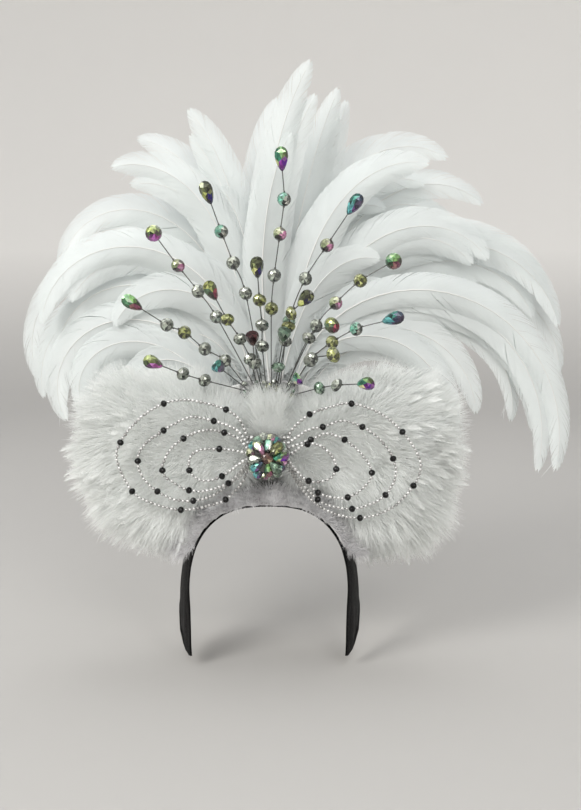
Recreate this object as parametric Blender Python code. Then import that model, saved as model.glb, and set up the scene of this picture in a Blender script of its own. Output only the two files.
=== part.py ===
"""Carnival feather headdress: a black head band carrying a feather fan, fur, beaded loops and crystal sprigs.

Metres, +Z up. The wearer faces -Y and the viewer's right is +X. The origin is the inside of the crown,
where the band rests on the top of the head. Sizes below are in millimetres and MM turns them into metres.
"""
import math

import bmesh
import bpy
import numpy as np
from mathutils import Vector

MM = 0.001
GAP = 0.3                    # clearance between pieces that touch

# Head form that the band is stretched over: flat crown, steep sides
HEAD_HALF_WIDTH = 79.5
HEAD_HALF_DEPTH = 94.0
HEAD_HEIGHT = 118.0          # crown down to the widest level
CROWN_EXPONENT = 2.7         # 2 would be an ellipse seen from the front

BAND_WALL = 2.5
BAND_FRONT = 42.0            # front edge, ahead of the crown
BAND_BACK = 60.0             # back edge, behind the crown
BAND_ROWS = 6                # points across the band

PANEL_WALL = 3.0
PANEL_HALF_WIDTH = 100.0
PANEL_TOP = 94.0
PANEL_FOOT_HALF_WIDTH = 60.0

TRIM_REACH = 74.0            # degrees round the head, each side
TRIM_FRONT = 45.0
TRIM_BACK = 31.0
TRIM_HEIGHT = 8.0
TRIM_LOCK = 4.0
TRIM_LOCK_STEP = 4.0         # degrees from one lock to the next
TRIM_NOSE = 5.0              # the fur's highest line, behind its front edge
TRIM_HEEL = 2.0

FLUFF_HALF_WIDTH = 184.0
FLUFF_TOP = 106.0
FLUFF_DROP = 75.0            # below the crown
FLUFF_SPLIT = 14.3           # inner end of each side, clear of the centre tuft
FLUFF_TIERS = 3
FLUFF_TIER_DEPTH = 14.0
FLUFF_TIER_OVERLAP = 1.0
FLUFF_TIER_SHRINK = 0.14
FLUFF_LOCKS = 19
FLUFF_LOCK_LENGTH = 11.0
FLUFF_ANCHOR_ACROSS = 0.13    # the tiers draw in toward this share of the half width
FLUFF_ANCHOR_UP = 0.25       # and this share of the top
FLUFF_HEAD_GAP = 1.6         # clear of the band
FLUFF_TRIM_GAP = 15.0        # clear of the forehead trim
CUTTER_LAP = 20.0            # the hollow's cutter runs past the back face
TRIM_CUTTER_LAP = 2.0

TUFT_BOTTOM = 47.0
TUFT_TOP = 77.0
TUFT_DEPTH = 42.0
TUFT_LOCKS = 5
TUFT_LOCK_LENGTH = 6.0

PLUME_LENGTH = 400.0         # the longest plume, and what the tables' lengths are shares of
PLUME_WIDTH = 40.0           # what the tables' widths are shares of
PLUME_CENTRE_Z = 52.0        # the quills leave the panel round this point
FRONT_QUILL_RADIUS = 36.0
BACK_QUILL_RADIUS = 26.0
QUILL_HALF = 1.3
PLUME_FIRST_LAYER = 4.0      # behind the panel's back
PLUME_LAYER_STEP = 4.0
PLUME_LEAN = 12.0            # how far a tip leans back at the lean radius, first layer
PLUME_LEAN_STEP = 10.0       # more for each layer
PLUME_LEAN_RADIUS = 300.0
PLUME_RIB = 1.2              # half thickness on the rib

PLATE_HALF_WIDTH = 26.0
PLATE_HEIGHT = 14.0
PLATE_WALL = 3.0
PLATE_CORNER = 3.0
PLATE_CENTRE_Z = 87.0

SPRIG_REACH = 100.0          # what the tips' places are shares of
WIRE_RADIUS = 0.55
WIRE_SIDES = 5
WIRE_FOOT = 3.0              # straight out of the plate before the wire turns
STONE_RADIUS = 5.6
STONE_THICKNESS = 3.0
STONE_SIDES = 8
END_STONE_RADIUS = 7.0
DROP_LENGTH = 20.0
DROP_HALF_WIDTH = 6.2
DROP_THICKNESS = 5.0
DROP_SET = 6.8               # a drop's middle is this far past the wire's tip
TABLE_SHARE = 0.55           # a stone's flat table beside its girdle

BROOCH_Z = 39.0
BROOCH_PAD_HALF = 12.0
BROOCH_PAD_HALF_HEIGHT = 16.0
BROOCH_PAD_BACK = 50.0
BROOCH_PAD_FRONT = 76.0
BROOCH_STEM_RADIUS = 5.0
BROOCH_STEM_LAP = 5.0        # the stem runs this far into the pad
BROOCH_RING_STONES = 8
BROOCH_RING_RADIUS = 11.0
BROOCH_TILT = 24.0           # degrees that the ring stones lean out
BROOCH_STEP = 1.3            # every other ring stone stands prouder

LOOP_REACH = 100.0           # what the loops' routes are shares of
STRING_DIAMETER = 3.0
STRING_PITCH = 9.0           # distance between the tube's points
LOOP_FIRST_DEPTH = 56.0      # the largest loop, ahead of the crown
LOOP_DEPTH_STEP = 4.6
LOOP_SEAT_STEP = 3.5
LOOP_LEAD = 5.0

# Head band: angle round the head from the crown, front and back edge as shares of the band's reach
BAND_STATIONS = (
    # angle, front, back
    (0.0, 1.00, 1.00),
    (5.0, 1.00, 1.00),
    (12.0, 1.00, 1.00),
    (21.0, 1.00, 0.98),
    (32.0, 1.00, 0.93),
    (44.0, 1.00, 0.84),
    (56.0, 1.00, 0.70),
    (67.0, 1.04, 0.56),
    (76.0, 1.13, 0.42),
    (84.0, 1.22, 0.20),
    (90.0, 1.27, -0.12),
    (95.0, 1.29, -0.55),
    (97.5, 1.30, -0.86),
)

# Outline of the fluff on one side: shares of its half width, and of its top or its drop
FLUFF_OUTLINE = (
    # across, up
    (0.08, 0.70),
    (0.17, 0.74),
    (0.26, 0.86),
    (0.36, 0.95),
    (0.50, 1.00),
    (0.66, 0.99),
    (0.81, 0.93),
    (0.91, 0.78),
    (0.95, 0.55),
    (0.96, 0.28),
    (0.94, -0.02),
    (0.92, -0.36),
    (0.86, -0.66),
    (0.75, -0.88),
    (0.62, -0.91),
    (0.50, -0.82),
)
FLUFF_INNER = (
    # across, up: the hidden side, toward the head
    (0.44, -0.40),
    (0.30, -0.02),
    (0.08, 0.12),
)

# Long coque plumes, bottom left to bottom right: degrees are from straight up, + to the viewer's right
FRONT_PLUMES = (
    # root, start, bend, curl, length, width, layer
    (-64.0, -39.0, -165.0, 2.0, 0.5, 0.8, 0),
    (-52.0, -28.0, -184.0, 1.5, 0.655, 0.9, 1),
    (-40.0, -15.0, -167.0, 1.45, 0.655, 0.95, 2),
    (-29.0, -6.0, -170.0, 1.45, 0.75, 0.875, 0),
    (-18.0, -9.0, -102.0, 2.9, 0.665, 1.0, 1),
    (-8.0, -7.0, -33.0, 2.9, 0.65, 0.95, 2),
    (3.0, -4.5, 35.0, 2.0, 0.73, 0.9, 0),
    (14.0, 11.0, 92.0, 2.8, 0.665, 1.0, 1),
    (26.0, 17.5, 133.0, 2.1, 0.6875, 1.0, 2),
    (38.0, 0.0, 192.0, 0.82, 1.0, 0.825, 0),
    (50.0, 14.5, 172.0, 0.97, 0.855, 0.8, 1),
    (62.0, 22.0, 169.0, 1.25, 0.725, 0.75, 2),
)
BACK_PLUMES = (
    # root, start, bend, curl, length, width, layer
    (-58.0, -19.0, -178.0, 1.45, 0.75, 0.85, 3),
    (-48.0, -7.0, -198.0, 1.4, 0.9, 0.8, 4),
    (-38.0, -9.0, -192.0, 2.2, 0.845, 0.85, 5),
    (-24.0, -8.0, -73.0, 2.9, 0.71, 1.0, 6),
    (-10.0, -4.0, 25.0, 2.9, 0.7, 0.95, 7),
    (0.0, 9.0, 15.0, 2.9, 0.715, 0.85, 3),
    (9.0, 12.0, 4.0, 1.0, 0.695, 0.75, 4),
    (18.0, 7.0, 120.0, 2.8, 0.805, 1.05, 5),
    (27.0, 16.0, 121.0, 2.6, 0.785, 0.95, 6),
    (35.0, 18.0, 106.0, 2.9, 0.655, 0.9, 7),
    (43.0, 15.0, 153.0, 1.45, 0.915, 0.9, 3),
    (51.0, 24.0, 136.0, 1.75, 0.78, 0.875, 4),
    (60.0, 27.0, 152.0, 1.55, 0.9, 0.775, 5),
)
# Half width of a plume along its length, as shares
PLUME_PROFILE = (
    # along, width
    (0.05, 0.10),
    (0.12, 0.34),
    (0.22, 0.68),
    (0.36, 0.93),
    (0.54, 1.00),
    (0.74, 0.90),
    (0.88, 0.68),
    (0.96, 0.38),
    (1.00, 0.10),
)

# Crystal sprigs: where the tip is, what ends the wire, and the stones along it as shares of the wire
SPRIGS = (
    # seat across, seat up, tip across, tip forward, tip up, end, stones as (share of the wire, mm beside it)
    (2.0, 5.0, 0.12, 0.4, 2.76, "drop", ((0.86, 3.0), (0.705, 1.0), (0.515, -2.0), (0.36, -3.0))),
    (-6.0, 5.0, -0.48, 0.38, 2.49, "drop", ((0.835, 2.0), (0.665, 4.5), (0.495, 7.5))),
    (-14.0, 5.0, -0.95, 0.4, 2.22, "round", ((0.785, 2.0), (0.61, 4.5), (0.435, 5.5))),
    (-10.0, 0.5, -0.43, 0.62, 1.7, "drop", ((0.76, 1.5), (0.54, 4.5), (0.315, 5.0))),
    (-21.5, 4.5, -1.07, 0.5, 1.61, "drop", ((0.76, 2.0), (0.62, 5.5), (0.42, 4.5), (0.24, 6.5))),
    (-22.0, -1.0, -0.89, 0.62, 1.14, "drop", ((0.73, -1.5), (0.475, -1.5))),
    (-13.0, -5.0, -0.37, 0.75, 1.12, "drop", ()),
    (-2.5, 0.5, -0.08, 0.58, 1.88, "drop", ((0.79, 0.0), (0.575, 0.5), (0.39, -0.5))),
    (7.0, 0.5, 0.27, 0.72, 1.65, "drop", ((0.88, -5.0), (0.73, -4.5), (0.57, -4.0))),
    (10.0, 5.0, 0.68, 0.42, 2.4, "drop", ((0.795, -7.0), (0.59, -13.5), (0.34, -13.0))),
    (16.5, 5.0, 1.05, 0.42, 1.99, "round", ((0.785, -10.5), (0.585, -14.0), (0.4, -14.0))),
    (22.0, 4.5, 0.98, 0.52, 1.5, "drop", ((0.755, -8.5), (0.515, -11.0), (0.28, -9.5))),
    (15.0, 0.5, 0.53, 0.64, 1.47, "round", ((0.72, -9.5),)),
    (20.0, -1.5, 0.54, 0.76, 1.24, "round", ((0.64, -9.0),)),
    (13.0, -5.0, 0.24, 0.78, 1.03, "drop", ()),
    (23.5, -4.5, 0.76, 0.68, 0.99, "drop", ((0.67, -2.0), (0.4, -2.0))),
    (-5.0, -4.0, -0.12, 0.62, 1.32, "drop", ((0.62, -1.5),)),
    (4.0, -4.5, 0.13, 0.7, 1.36, "drop", ((0.52, 0.0),)),
)

# Route of each beaded loop from its upper end round to its lower one: across and up
LEFT_LOOPS = (
    ((-0.23, 0.66), (-0.35, 0.76), (-0.65, 0.84), (-0.87, 0.81), (-1.09, 0.67), (-1.24, 0.48), (-1.27, 0.32),
     (-1.15, 0.06), (-0.96, -0.05), (-0.74, -0.1), (-0.53, -0.07), (-0.36, -0.01), (-0.22, 0.14)),
    ((-0.27, 0.6), (-0.45, 0.67), (-0.65, 0.7), (-0.87, 0.59), (-1.04, 0.46), (-1.09, 0.33),
     (-1.05, 0.19), (-0.93, 0.07), (-0.78, 0.0), (-0.63, -0.01), (-0.46, 0.04), (-0.26, 0.18)),
    ((-0.24, 0.53), (-0.36, 0.58), (-0.52, 0.6), (-0.7, 0.53), (-0.83, 0.41), (-0.88, 0.26),
     (-0.81, 0.17), (-0.66, 0.09), (-0.5, 0.09), (-0.33, 0.15), (-0.23, 0.25)),
    ((-0.24, 0.43), (-0.4, 0.45), (-0.56, 0.44), (-0.64, 0.38), (-0.65, 0.27), (-0.6, 0.21), (-0.51, 0.18), (-0.38, 0.22), (-0.24, 0.32)),
)
RIGHT_LOOPS = (
    ((0.21, 0.6), (0.35, 0.72), (0.52, 0.78), (0.7, 0.81), (0.94, 0.73), (1.13, 0.57), (1.25, 0.4), (1.29, 0.27),
     (1.23, 0.11), (1.05, -0.08), (0.78, -0.17), (0.51, -0.11), (0.34, 0.02), (0.23, 0.17)),
    ((0.24, 0.53), (0.35, 0.6), (0.46, 0.62), (0.62, 0.67), (0.79, 0.62), (0.94, 0.51), (1.05, 0.35), (1.07, 0.19),
     (0.99, 0.04), (0.86, -0.04), (0.71, -0.08), (0.55, -0.06), (0.42, 0.0), (0.26, 0.17)),
    ((0.23, 0.47), (0.36, 0.52), (0.49, 0.57), (0.64, 0.52), (0.78, 0.4), (0.87, 0.24), (0.8, 0.11),
     (0.67, 0.03), (0.55, 0.03), (0.42, 0.07), (0.26, 0.23)),
    ((0.21, 0.42), (0.33, 0.49), (0.45, 0.47), (0.54, 0.38), (0.57, 0.28), (0.5, 0.19), (0.34, 0.18), (0.22, 0.29)),
)

WHITE = (0.86, 0.87, 0.88)
FEATHER_WHITE = (0.90, 0.91, 0.92)
FUR_GREY = (0.62, 0.62, 0.63)
BLACK = (0.012, 0.010, 0.010)
SILVER = (0.60, 0.60, 0.62)
CRYSTAL = (0.45, 0.62, 0.58)
PEARL = (0.90, 0.87, 0.84)


def clear_scene():
    """Remove every object of the open scene."""
    for thing in list(bpy.data.objects):
        bpy.data.objects.remove(thing, do_unlink=True)


def finish(thing, color, roughness, metallic=0.0):
    """Give an object a Principled material of its own."""
    material = bpy.data.materials.new(thing.name + "_finish")
    material.use_nodes = True
    shader = material.node_tree.nodes["Principled BSDF"]
    shader.inputs["Base Color"].default_value = (*color, 1.0)
    shader.inputs["Roughness"].default_value = roughness
    shader.inputs["Metallic"].default_value = metallic
    thing.data.materials.append(material)
    return thing


def add_object(name, mesh_builder):
    """Make an object from a bmesh whose points are in millimetres."""
    bmesh.ops.scale(mesh_builder, vec=(MM, MM, MM), verts=mesh_builder.verts)
    bmesh.ops.recalc_face_normals(mesh_builder, faces=mesh_builder.faces)
    mesh = bpy.data.meshes.new(name)
    mesh_builder.to_mesh(mesh)
    mesh_builder.free()
    thing = bpy.data.objects.new(name, mesh)
    bpy.context.scene.collection.objects.link(thing)
    return thing


def loft(mesh_builder, rings):
    """Join rings of equally many points into one closed body with flat ends."""
    loops = [[mesh_builder.verts.new(point) for point in ring] for ring in rings]
    count = len(loops[0])
    for ring, following in zip(loops, loops[1:]):
        for i in range(count):
            j = (i + 1) % count
            mesh_builder.faces.new((ring[i], ring[j], following[j], following[i]))
    mesh_builder.faces.new(loops[0])
    mesh_builder.faces.new(loops[-1])


def prism(outline, front, back, front_scale=1.0, anchor=(0.0, 0.0)):
    """Extrude an (across, up) outline from y = back to y = front, drawing the front in to an anchor."""
    builder = bmesh.new()
    rear = [(x, back, z) for x, z in outline]
    ahead = [(anchor[0] + (x - anchor[0]) * front_scale, front, anchor[1] + (z - anchor[1]) * front_scale)
             for x, z in outline]
    loft(builder, (rear, ahead))
    return builder


def combine(base, other, operation):
    """Apply one Boolean to base and remove the other object."""
    modifier = base.modifiers.new(operation.lower(), "BOOLEAN")
    modifier.operation = operation
    modifier.solver = "EXACT"
    modifier.object = other
    graph = bpy.context.evaluated_depsgraph_get()
    mesh = bpy.data.meshes.new_from_object(base.evaluated_get(graph))
    base.modifiers.clear()
    old = base.data
    base.data = mesh
    bpy.data.meshes.remove(old)
    bpy.data.objects.remove(other, do_unlink=True)


def smooth(thing, angle=35.0):
    """Shade an object smooth, with edges sharper than the angle left crisp."""
    thing.data.shade_smooth()
    thing.data.set_sharp_from_angle(angle=math.radians(angle))


def head_point(angle, y, offset=0.0):
    """Point of the head form at an angle round from the crown and a distance along the head."""
    width = HEAD_HALF_WIDTH + offset
    depth = HEAD_HALF_DEPTH + offset
    height = HEAD_HEIGHT + offset
    share = math.sqrt(max(0.0, 1.0 - (y / depth) ** 2))
    sine = math.sin(math.radians(angle))
    cosine = math.cos(math.radians(angle))
    power = 2.0 / CROWN_EXPONENT
    x = width * share * math.copysign(abs(sine) ** power, sine)
    z = height * share * math.copysign(abs(cosine) ** power, cosine) - HEAD_HEIGHT
    return (x, y, z)


def mirrored(stations):
    """Repeat one-sided stations (angle first) on the other side, left to right."""
    left = [(-row[0], *row[1:]) for row in reversed(stations) if row[0] > 0.0]
    return left + list(stations)


def cap_band():
    """Wide stretch band over the crown, ending in a pointed tab before each ear."""
    builder = bmesh.new()
    rings = []
    for angle, front, back in mirrored(BAND_STATIONS):
        start = -BAND_FRONT * front
        end = BAND_BACK * back
        rows = [start + (end - start) * i / (BAND_ROWS - 1) for i in range(BAND_ROWS)]
        inside = [head_point(angle, y) for y in rows]
        outside = [head_point(angle, y, BAND_WALL) for y in reversed(rows)]
        rings.append(inside + outside)
    loft(builder, rings)
    thing = finish(add_object("cap_band", builder), BLACK, 0.42)
    smooth(thing, 50.0)
    return thing


def crown_line(half_width, offset):
    """(across, up) points over the crown at the panel, out to a half width."""
    points = []
    for angle, _front, _back in mirrored(BAND_STATIONS):
        x, _y, z = head_point(angle, 0.0, offset)
        if abs(x) <= half_width:
            points.append((x, z))
    return points


def backing_panel():
    """Upright felt panel on the crown, which carries the plumes, the fluff, the plate and the brooch."""
    foot = crown_line(PANEL_FOOT_HALF_WIDTH, BAND_WALL + GAP)
    low = foot[0][1]
    arch = []
    for i in range(17):
        turn = math.radians(180.0 * i / 16)
        x = PANEL_HALF_WIDTH * math.cos(turn)
        z = low + (PANEL_TOP - low) * math.sin(turn) ** 0.8
        arch.append((x, z))
    builder = prism(foot + arch, 0.0, PANEL_WALL)
    return finish(add_object("backing_panel", builder), WHITE, 0.95)


def forehead_trim():
    """Short fur edging along the front edge of the band, in small locks."""
    builder = bmesh.new()
    count = int(2 * TRIM_REACH / TRIM_LOCK_STEP)
    rings = []
    for i in range(count + 1):
        angle = -TRIM_REACH + 2 * TRIM_REACH * i / count
        lock = TRIM_LOCK * (i % 2)
        low = BAND_WALL + 2 * GAP
        section = (
            (-TRIM_BACK, low),
            (-TRIM_BACK - TRIM_HEEL, low + TRIM_HEIGHT * 0.7),
            (-TRIM_FRONT + TRIM_NOSE, low + TRIM_HEIGHT + lock),
            (-TRIM_FRONT - lock, low + TRIM_HEIGHT * 0.45),
            (-TRIM_FRONT, low),
        )
        rings.append([head_point(angle, y, offset) for y, offset in section])
    loft(builder, rings)
    return finish(add_object("forehead_trim", builder), FUR_GREY, 0.95)


def closed_curve(points, steps):
    """Smooth points through an open run of (across, up) points."""
    run = [np.array(point, float) for point in points]
    run = [2 * run[0] - run[1]] + run + [2 * run[-1] - run[-2]]
    result = []
    for a, b, c, d in zip(run, run[1:], run[2:], run[3:]):
        for i in range(steps):
            t = i / steps
            result.append(0.5 * (2 * b + (c - a) * t + (2 * a - 5 * b + 4 * c - d) * t ** 2
                                 + (3 * b - a - 3 * c + d) * t ** 3))
    result.append(run[-2])
    return result


def to_size(rows):
    """Turn outline shares into millimetres."""
    return [(FLUFF_HALF_WIDTH * across, (FLUFF_TOP if up > 0.0 else FLUFF_DROP) * up) for across, up in rows]


def lock_outline(shrink, phase):
    """Outline of one tier of the fluff: pointed locks round the free side, plain toward the head."""
    anchor = np.array((FLUFF_HALF_WIDTH * FLUFF_ANCHOR_ACROSS, FLUFF_TOP * FLUFF_ANCHOR_UP))
    smooth_run = closed_curve(to_size(FLUFF_OUTLINE), 6)
    lengths = np.concatenate([[0.0], np.cumsum([np.linalg.norm(b - a) for a, b in
                                                zip(smooth_run, smooth_run[1:])])])
    outline = []
    for i in range(2 * FLUFF_LOCKS + 1):
        along = lengths[-1] * i / (2 * FLUFF_LOCKS)
        point = np.array([np.interp(along, lengths, [p[axis] for p in smooth_run]) for axis in (0, 1)])
        outward = (point - anchor) / np.linalg.norm(point - anchor)
        if i % 2 == 0:
            point = point - outward * FLUFF_LOCK_LENGTH * (1.0 + 0.4 * math.sin(i * 1.7 + phase))
        outline.append(anchor + (point - anchor) * shrink)
    outline += [anchor + (np.array(point) - anchor) * shrink for point in to_size(FLUFF_INNER)]
    return [(max(point[0], FLUFF_SPLIT), point[1]) for point in outline]


def head_cutter(offset, back, front):
    """Closed body a clearance larger than the head form, between two distances along the head."""
    builder = bmesh.new()
    angles = [row[0] for row in mirrored(BAND_STATIONS)]
    rings = []
    for y in np.linspace(front, back, 6):
        arch = [head_point(angle, y, offset) for angle in angles]
        low = -2.0 * HEAD_HEIGHT
        rings.append(arch + [(arch[-1][0], y, low), (arch[0][0], y, low)])
    loft(builder, rings)
    return add_object("head_cutter", builder)


def side_fluff(name, side):
    """One side of the deep fluff: tiers of pointed locks that step forward, hollowed to clear the head."""
    body = None
    step = FLUFF_TIER_DEPTH - FLUFF_TIER_OVERLAP
    for tier in range(FLUFF_TIERS):
        outline = lock_outline(1.0 - FLUFF_TIER_SHRINK * tier, 2.1 * tier)
        outline = [(side * x, z) for x, z in outline]
        back = -GAP - step * tier
        anchor = (side * FLUFF_HALF_WIDTH * FLUFF_ANCHOR_ACROSS, FLUFF_TOP * FLUFF_ANCHOR_UP)
        builder = prism(outline, back - FLUFF_TIER_DEPTH, back, 0.93, anchor)
        layer = add_object(name + "_tier", builder)
        if body is None:
            body = layer
            body.name = name
        else:
            combine(body, layer, "UNION")
    combine(body, head_cutter(BAND_WALL + FLUFF_HEAD_GAP, CUTTER_LAP, -HEAD_HALF_DEPTH * 0.9), "DIFFERENCE")
    combine(body, head_cutter(BAND_WALL + FLUFF_TRIM_GAP, -TRIM_BACK + TRIM_CUTTER_LAP, -HEAD_HALF_DEPTH * 0.9),
            "DIFFERENCE")
    return finish(body, WHITE, 0.95)


def centre_tuft():
    """Tuft above the brooch that closes the fluff between its two sides."""
    half = FLUFF_SPLIT - GAP
    outline = [(-half, TUFT_BOTTOM), (half, TUFT_BOTTOM)]
    for i in range(2 * TUFT_LOCKS + 1):
        x = half - 2 * half * i / (2 * TUFT_LOCKS)
        outline.append((x, TUFT_TOP - TUFT_LOCK_LENGTH * (i % 2)))
    builder = prism(outline, -TUFT_DEPTH, -GAP)
    return finish(add_object("fluff_centre", builder), WHITE, 0.95)


def plume_depth(layer, x, z):
    """How far back a layer of plumes lies at a place across and up."""
    radius = math.hypot(x, z - PLUME_CENTRE_Z)
    lean = PLUME_LEAN + PLUME_LEAN_STEP * layer
    seat = PANEL_WALL + PLUME_FIRST_LAYER + PLUME_LAYER_STEP * layer
    return seat + lean * (radius / PLUME_LEAN_RADIUS) ** 2


def plume_line(root_radius, row, steps):
    """Points (across, up) of a plume's rib and its direction at each, in degrees from straight up."""
    root, start, bend, curl, share_of_length, _width, _layer = row
    length = PLUME_LENGTH * share_of_length
    x = root_radius * math.sin(math.radians(root))
    z = PLUME_CENTRE_Z + root_radius * math.cos(math.radians(root))
    points = [(x, z, start)]
    for i in range(steps):
        share = (i + 0.5) / steps
        heading = math.radians(start + bend * share ** curl)
        x += math.sin(heading) * length / steps
        z += math.cos(heading) * length / steps
        points.append((x, z, start + bend * ((i + 1) / steps) ** curl))
    return points


def plume(name, root_radius, row):
    """One long curved plume: a thin blade, thickest on its rib, on a quill seated in the panel's back."""
    width, layer = PLUME_WIDTH * row[5], row[6]
    steps = 50
    line = plume_line(root_radius, row, steps)
    x, z, start = line[0]
    across = (math.cos(math.radians(start)), -math.sin(math.radians(start)))
    ahead = (math.sin(math.radians(start)), math.cos(math.radians(start)))
    seat = PANEL_WALL + GAP
    depth = plume_depth(layer, x, z)
    half = QUILL_HALF
    foot = [(x - half * across[0], seat, z - half * across[1]), (x - half * ahead[0], seat, z - half * ahead[1]),
            (x + half * across[0], seat, z + half * across[1]), (x + half * ahead[0], seat, z + half * ahead[1])]
    elbow = [(px, depth + turn, pz) for (px, _y, pz), turn in zip(foot, (0.0, PLUME_RIB, 0.0, -PLUME_RIB))]
    rings = [foot, elbow]
    for along, share in PLUME_PROFILE:
        x, z, heading = line[round(along * steps)]
        reach = width / 2 * share
        side = (math.cos(math.radians(heading)) * reach, -math.sin(math.radians(heading)) * reach)
        left = (x - side[0], plume_depth(layer, x - side[0], z - side[1]), z - side[1])
        right = (x + side[0], plume_depth(layer, x + side[0], z + side[1]), z + side[1])
        middle = (left[1] + right[1]) / 2
        rings.append([left, (x, middle + PLUME_RIB, z), right, (x, middle - PLUME_RIB, z)])
    builder = bmesh.new()
    loft(builder, rings)
    return finish(add_object(name, builder), FEATHER_WHITE, 0.8)


def spray_plate():
    """Small plate on the panel's front that the sprigs' wires are soldered into."""
    half = PLATE_HALF_WIDTH
    low = PLATE_CENTRE_Z - PLATE_HEIGHT / 2
    high = PLATE_CENTRE_Z + PLATE_HEIGHT / 2
    corner = PLATE_CORNER
    outline = [(-half + corner, low), (half - corner, low), (half, low + corner), (half, high - corner),
               (half - corner, high), (-half + corner, high), (-half, high - corner), (-half, low + corner)]
    builder = prism(outline, -GAP - PLATE_WALL, -GAP)
    return finish(add_object("spray_plate", builder), SILVER, 0.35, 0.9)


def stone_outline(kind, radius):
    """Outline of a stone seen from its face, (along the wire, across it), with its point to the wire."""
    if kind == "drop":
        outline = []
        for i in range(10):
            turn = 2 * math.pi * i / 10
            along = DROP_LENGTH / 2 * math.cos(turn)
            taper = 0.5 + 0.5 * math.cos(turn)
            outline.append((along, DROP_HALF_WIDTH * math.sin(turn) * (0.55 + 0.62 * taper)))
        return outline
    turns = [2 * math.pi * (i + 0.5) / STONE_SIDES for i in range(STONE_SIDES)]
    return [(radius * math.cos(turn), radius * math.sin(turn)) for turn in turns]


def stone(outline, thickness, centre, wire_way, face_way):
    """A cut stone: flat back, a facet from each side of the girdle, and a flat table."""
    along = wire_way.normalized()
    face = (face_way - along * face_way.dot(along)).normalized()
    side = along.cross(face)
    builder = bmesh.new()
    rings = []
    for share, height in ((1.0, -0.4 * thickness), (TABLE_SHARE, 0.6 * thickness)):
        rings.append([centre + (along * u + side * v) * share + face * height for u, v in outline])
    loft(builder, rings)
    return add_object("stone", builder)


def wire_ring(centre, way, up):
    """Points round a wire at one place."""
    side = way.cross(up).normalized()
    top = side.cross(way).normalized()
    turns = [2 * math.pi * i / WIRE_SIDES for i in range(WIRE_SIDES)]
    return [centre + (side * math.cos(turn) + top * math.sin(turn)) * WIRE_RADIUS for turn in turns]


def sprig(name, row):
    """A wire from the plate to its end stone, with smaller stones strung on it."""
    seat_x, seat_up, tip_x, tip_forward, tip_z, kind, stones = row
    plate_front = -GAP - PLATE_WALL
    foot = Vector((seat_x, plate_front - GAP, PLATE_CENTRE_Z + seat_up))
    turn = foot + Vector((0.0, -WIRE_FOOT, 0.0))
    tip = Vector((tip_x, -tip_forward, tip_z)) * SPRIG_REACH
    forward = Vector((0.0, -1.0, 0.0))
    way = (tip - turn).normalized()
    middle = (forward + way).normalized()
    up = Vector((0.0, 0.0, 1.0))
    aside = way.cross(forward).normalized()
    centres = [turn + (tip - turn) * share + aside * beside for share, beside in stones]
    run = [turn] + centres[::-1] + [tip]
    tail = DROP_LENGTH * 0.15 if kind == "drop" else END_STONE_RADIUS * 0.3
    last = (run[-1] - run[-2]).normalized()
    end = tip + last * tail
    builder = bmesh.new()
    rings = [wire_ring(foot, forward, up), wire_ring(turn, middle, up)]
    for before, here, after in zip(run, run[1:], run[2:]):
        rings.append(wire_ring(here, (here - before).normalized() + (after - here).normalized(), up))
    rings.append(wire_ring(end, last, up))
    loft(builder, rings)
    body = add_object(name, builder)
    face = Vector((0.0, -1.0, 0.1))
    for before, centre, after in zip(run[::-1][2:], centres, run[::-1]):
        combine(body, stone(stone_outline("round", STONE_RADIUS), STONE_THICKNESS, centre, after - before, face),
                "UNION")
    thickness = DROP_THICKNESS if kind == "drop" else STONE_THICKNESS * 1.3
    centre = tip + last * DROP_SET if kind == "drop" else tip
    combine(body, stone(stone_outline(kind, END_STONE_RADIUS), thickness, centre, last, face), "UNION")
    return finish(body, CRYSTAL, 0.08, 0.4)


def brooch():
    """Cluster of cut stones on a pad, whose stem reaches back to the panel."""
    half, low, high = BROOCH_PAD_HALF, BROOCH_Z - BROOCH_PAD_HALF_HEIGHT, BROOCH_Z + BROOCH_PAD_HALF_HEIGHT
    outline = [(-half, low), (half, low), (half, high), (-half, high)]
    body = add_object("brooch", prism(outline, -BROOCH_PAD_FRONT, -BROOCH_PAD_BACK))
    turns = [2 * math.pi * (i + 0.5) / 12 for i in range(12)]
    stem = [(BROOCH_STEM_RADIUS * math.cos(turn), BROOCH_Z + BROOCH_STEM_RADIUS * math.sin(turn))
            for turn in turns]
    combine(body, add_object("stem", prism(stem, -BROOCH_PAD_BACK - BROOCH_STEM_LAP, -GAP)), "UNION")
    front = Vector((0.0, -1.0, 0.0))
    tilt = math.radians(BROOCH_TILT)
    for i in range(BROOCH_RING_STONES):
        turn = 2 * math.pi * i / BROOCH_RING_STONES
        outward = Vector((math.cos(turn), 0.0, math.sin(turn)))
        rise = BROOCH_STEP * (i % 2)
        centre = outward * BROOCH_RING_RADIUS + Vector((0.0, -BROOCH_PAD_FRONT - rise, BROOCH_Z))
        way = outward * math.cos(tilt) - front * math.sin(tilt)
        face = front * math.cos(tilt) + outward * math.sin(tilt)
        combine(body, stone(stone_outline("round", STONE_RADIUS), STONE_THICKNESS * 2, centre, way, face), "UNION")
    middle = Vector((0.0, -BROOCH_PAD_FRONT - 2 * BROOCH_STEP, BROOCH_Z))
    outward = Vector((1.0, 0.0, 0.0))
    combine(body, stone(stone_outline("round", END_STONE_RADIUS), STONE_THICKNESS * 2.6, middle, outward, front),
            "UNION")
    return finish(body, CRYSTAL, 0.08, 0.4)


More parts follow.
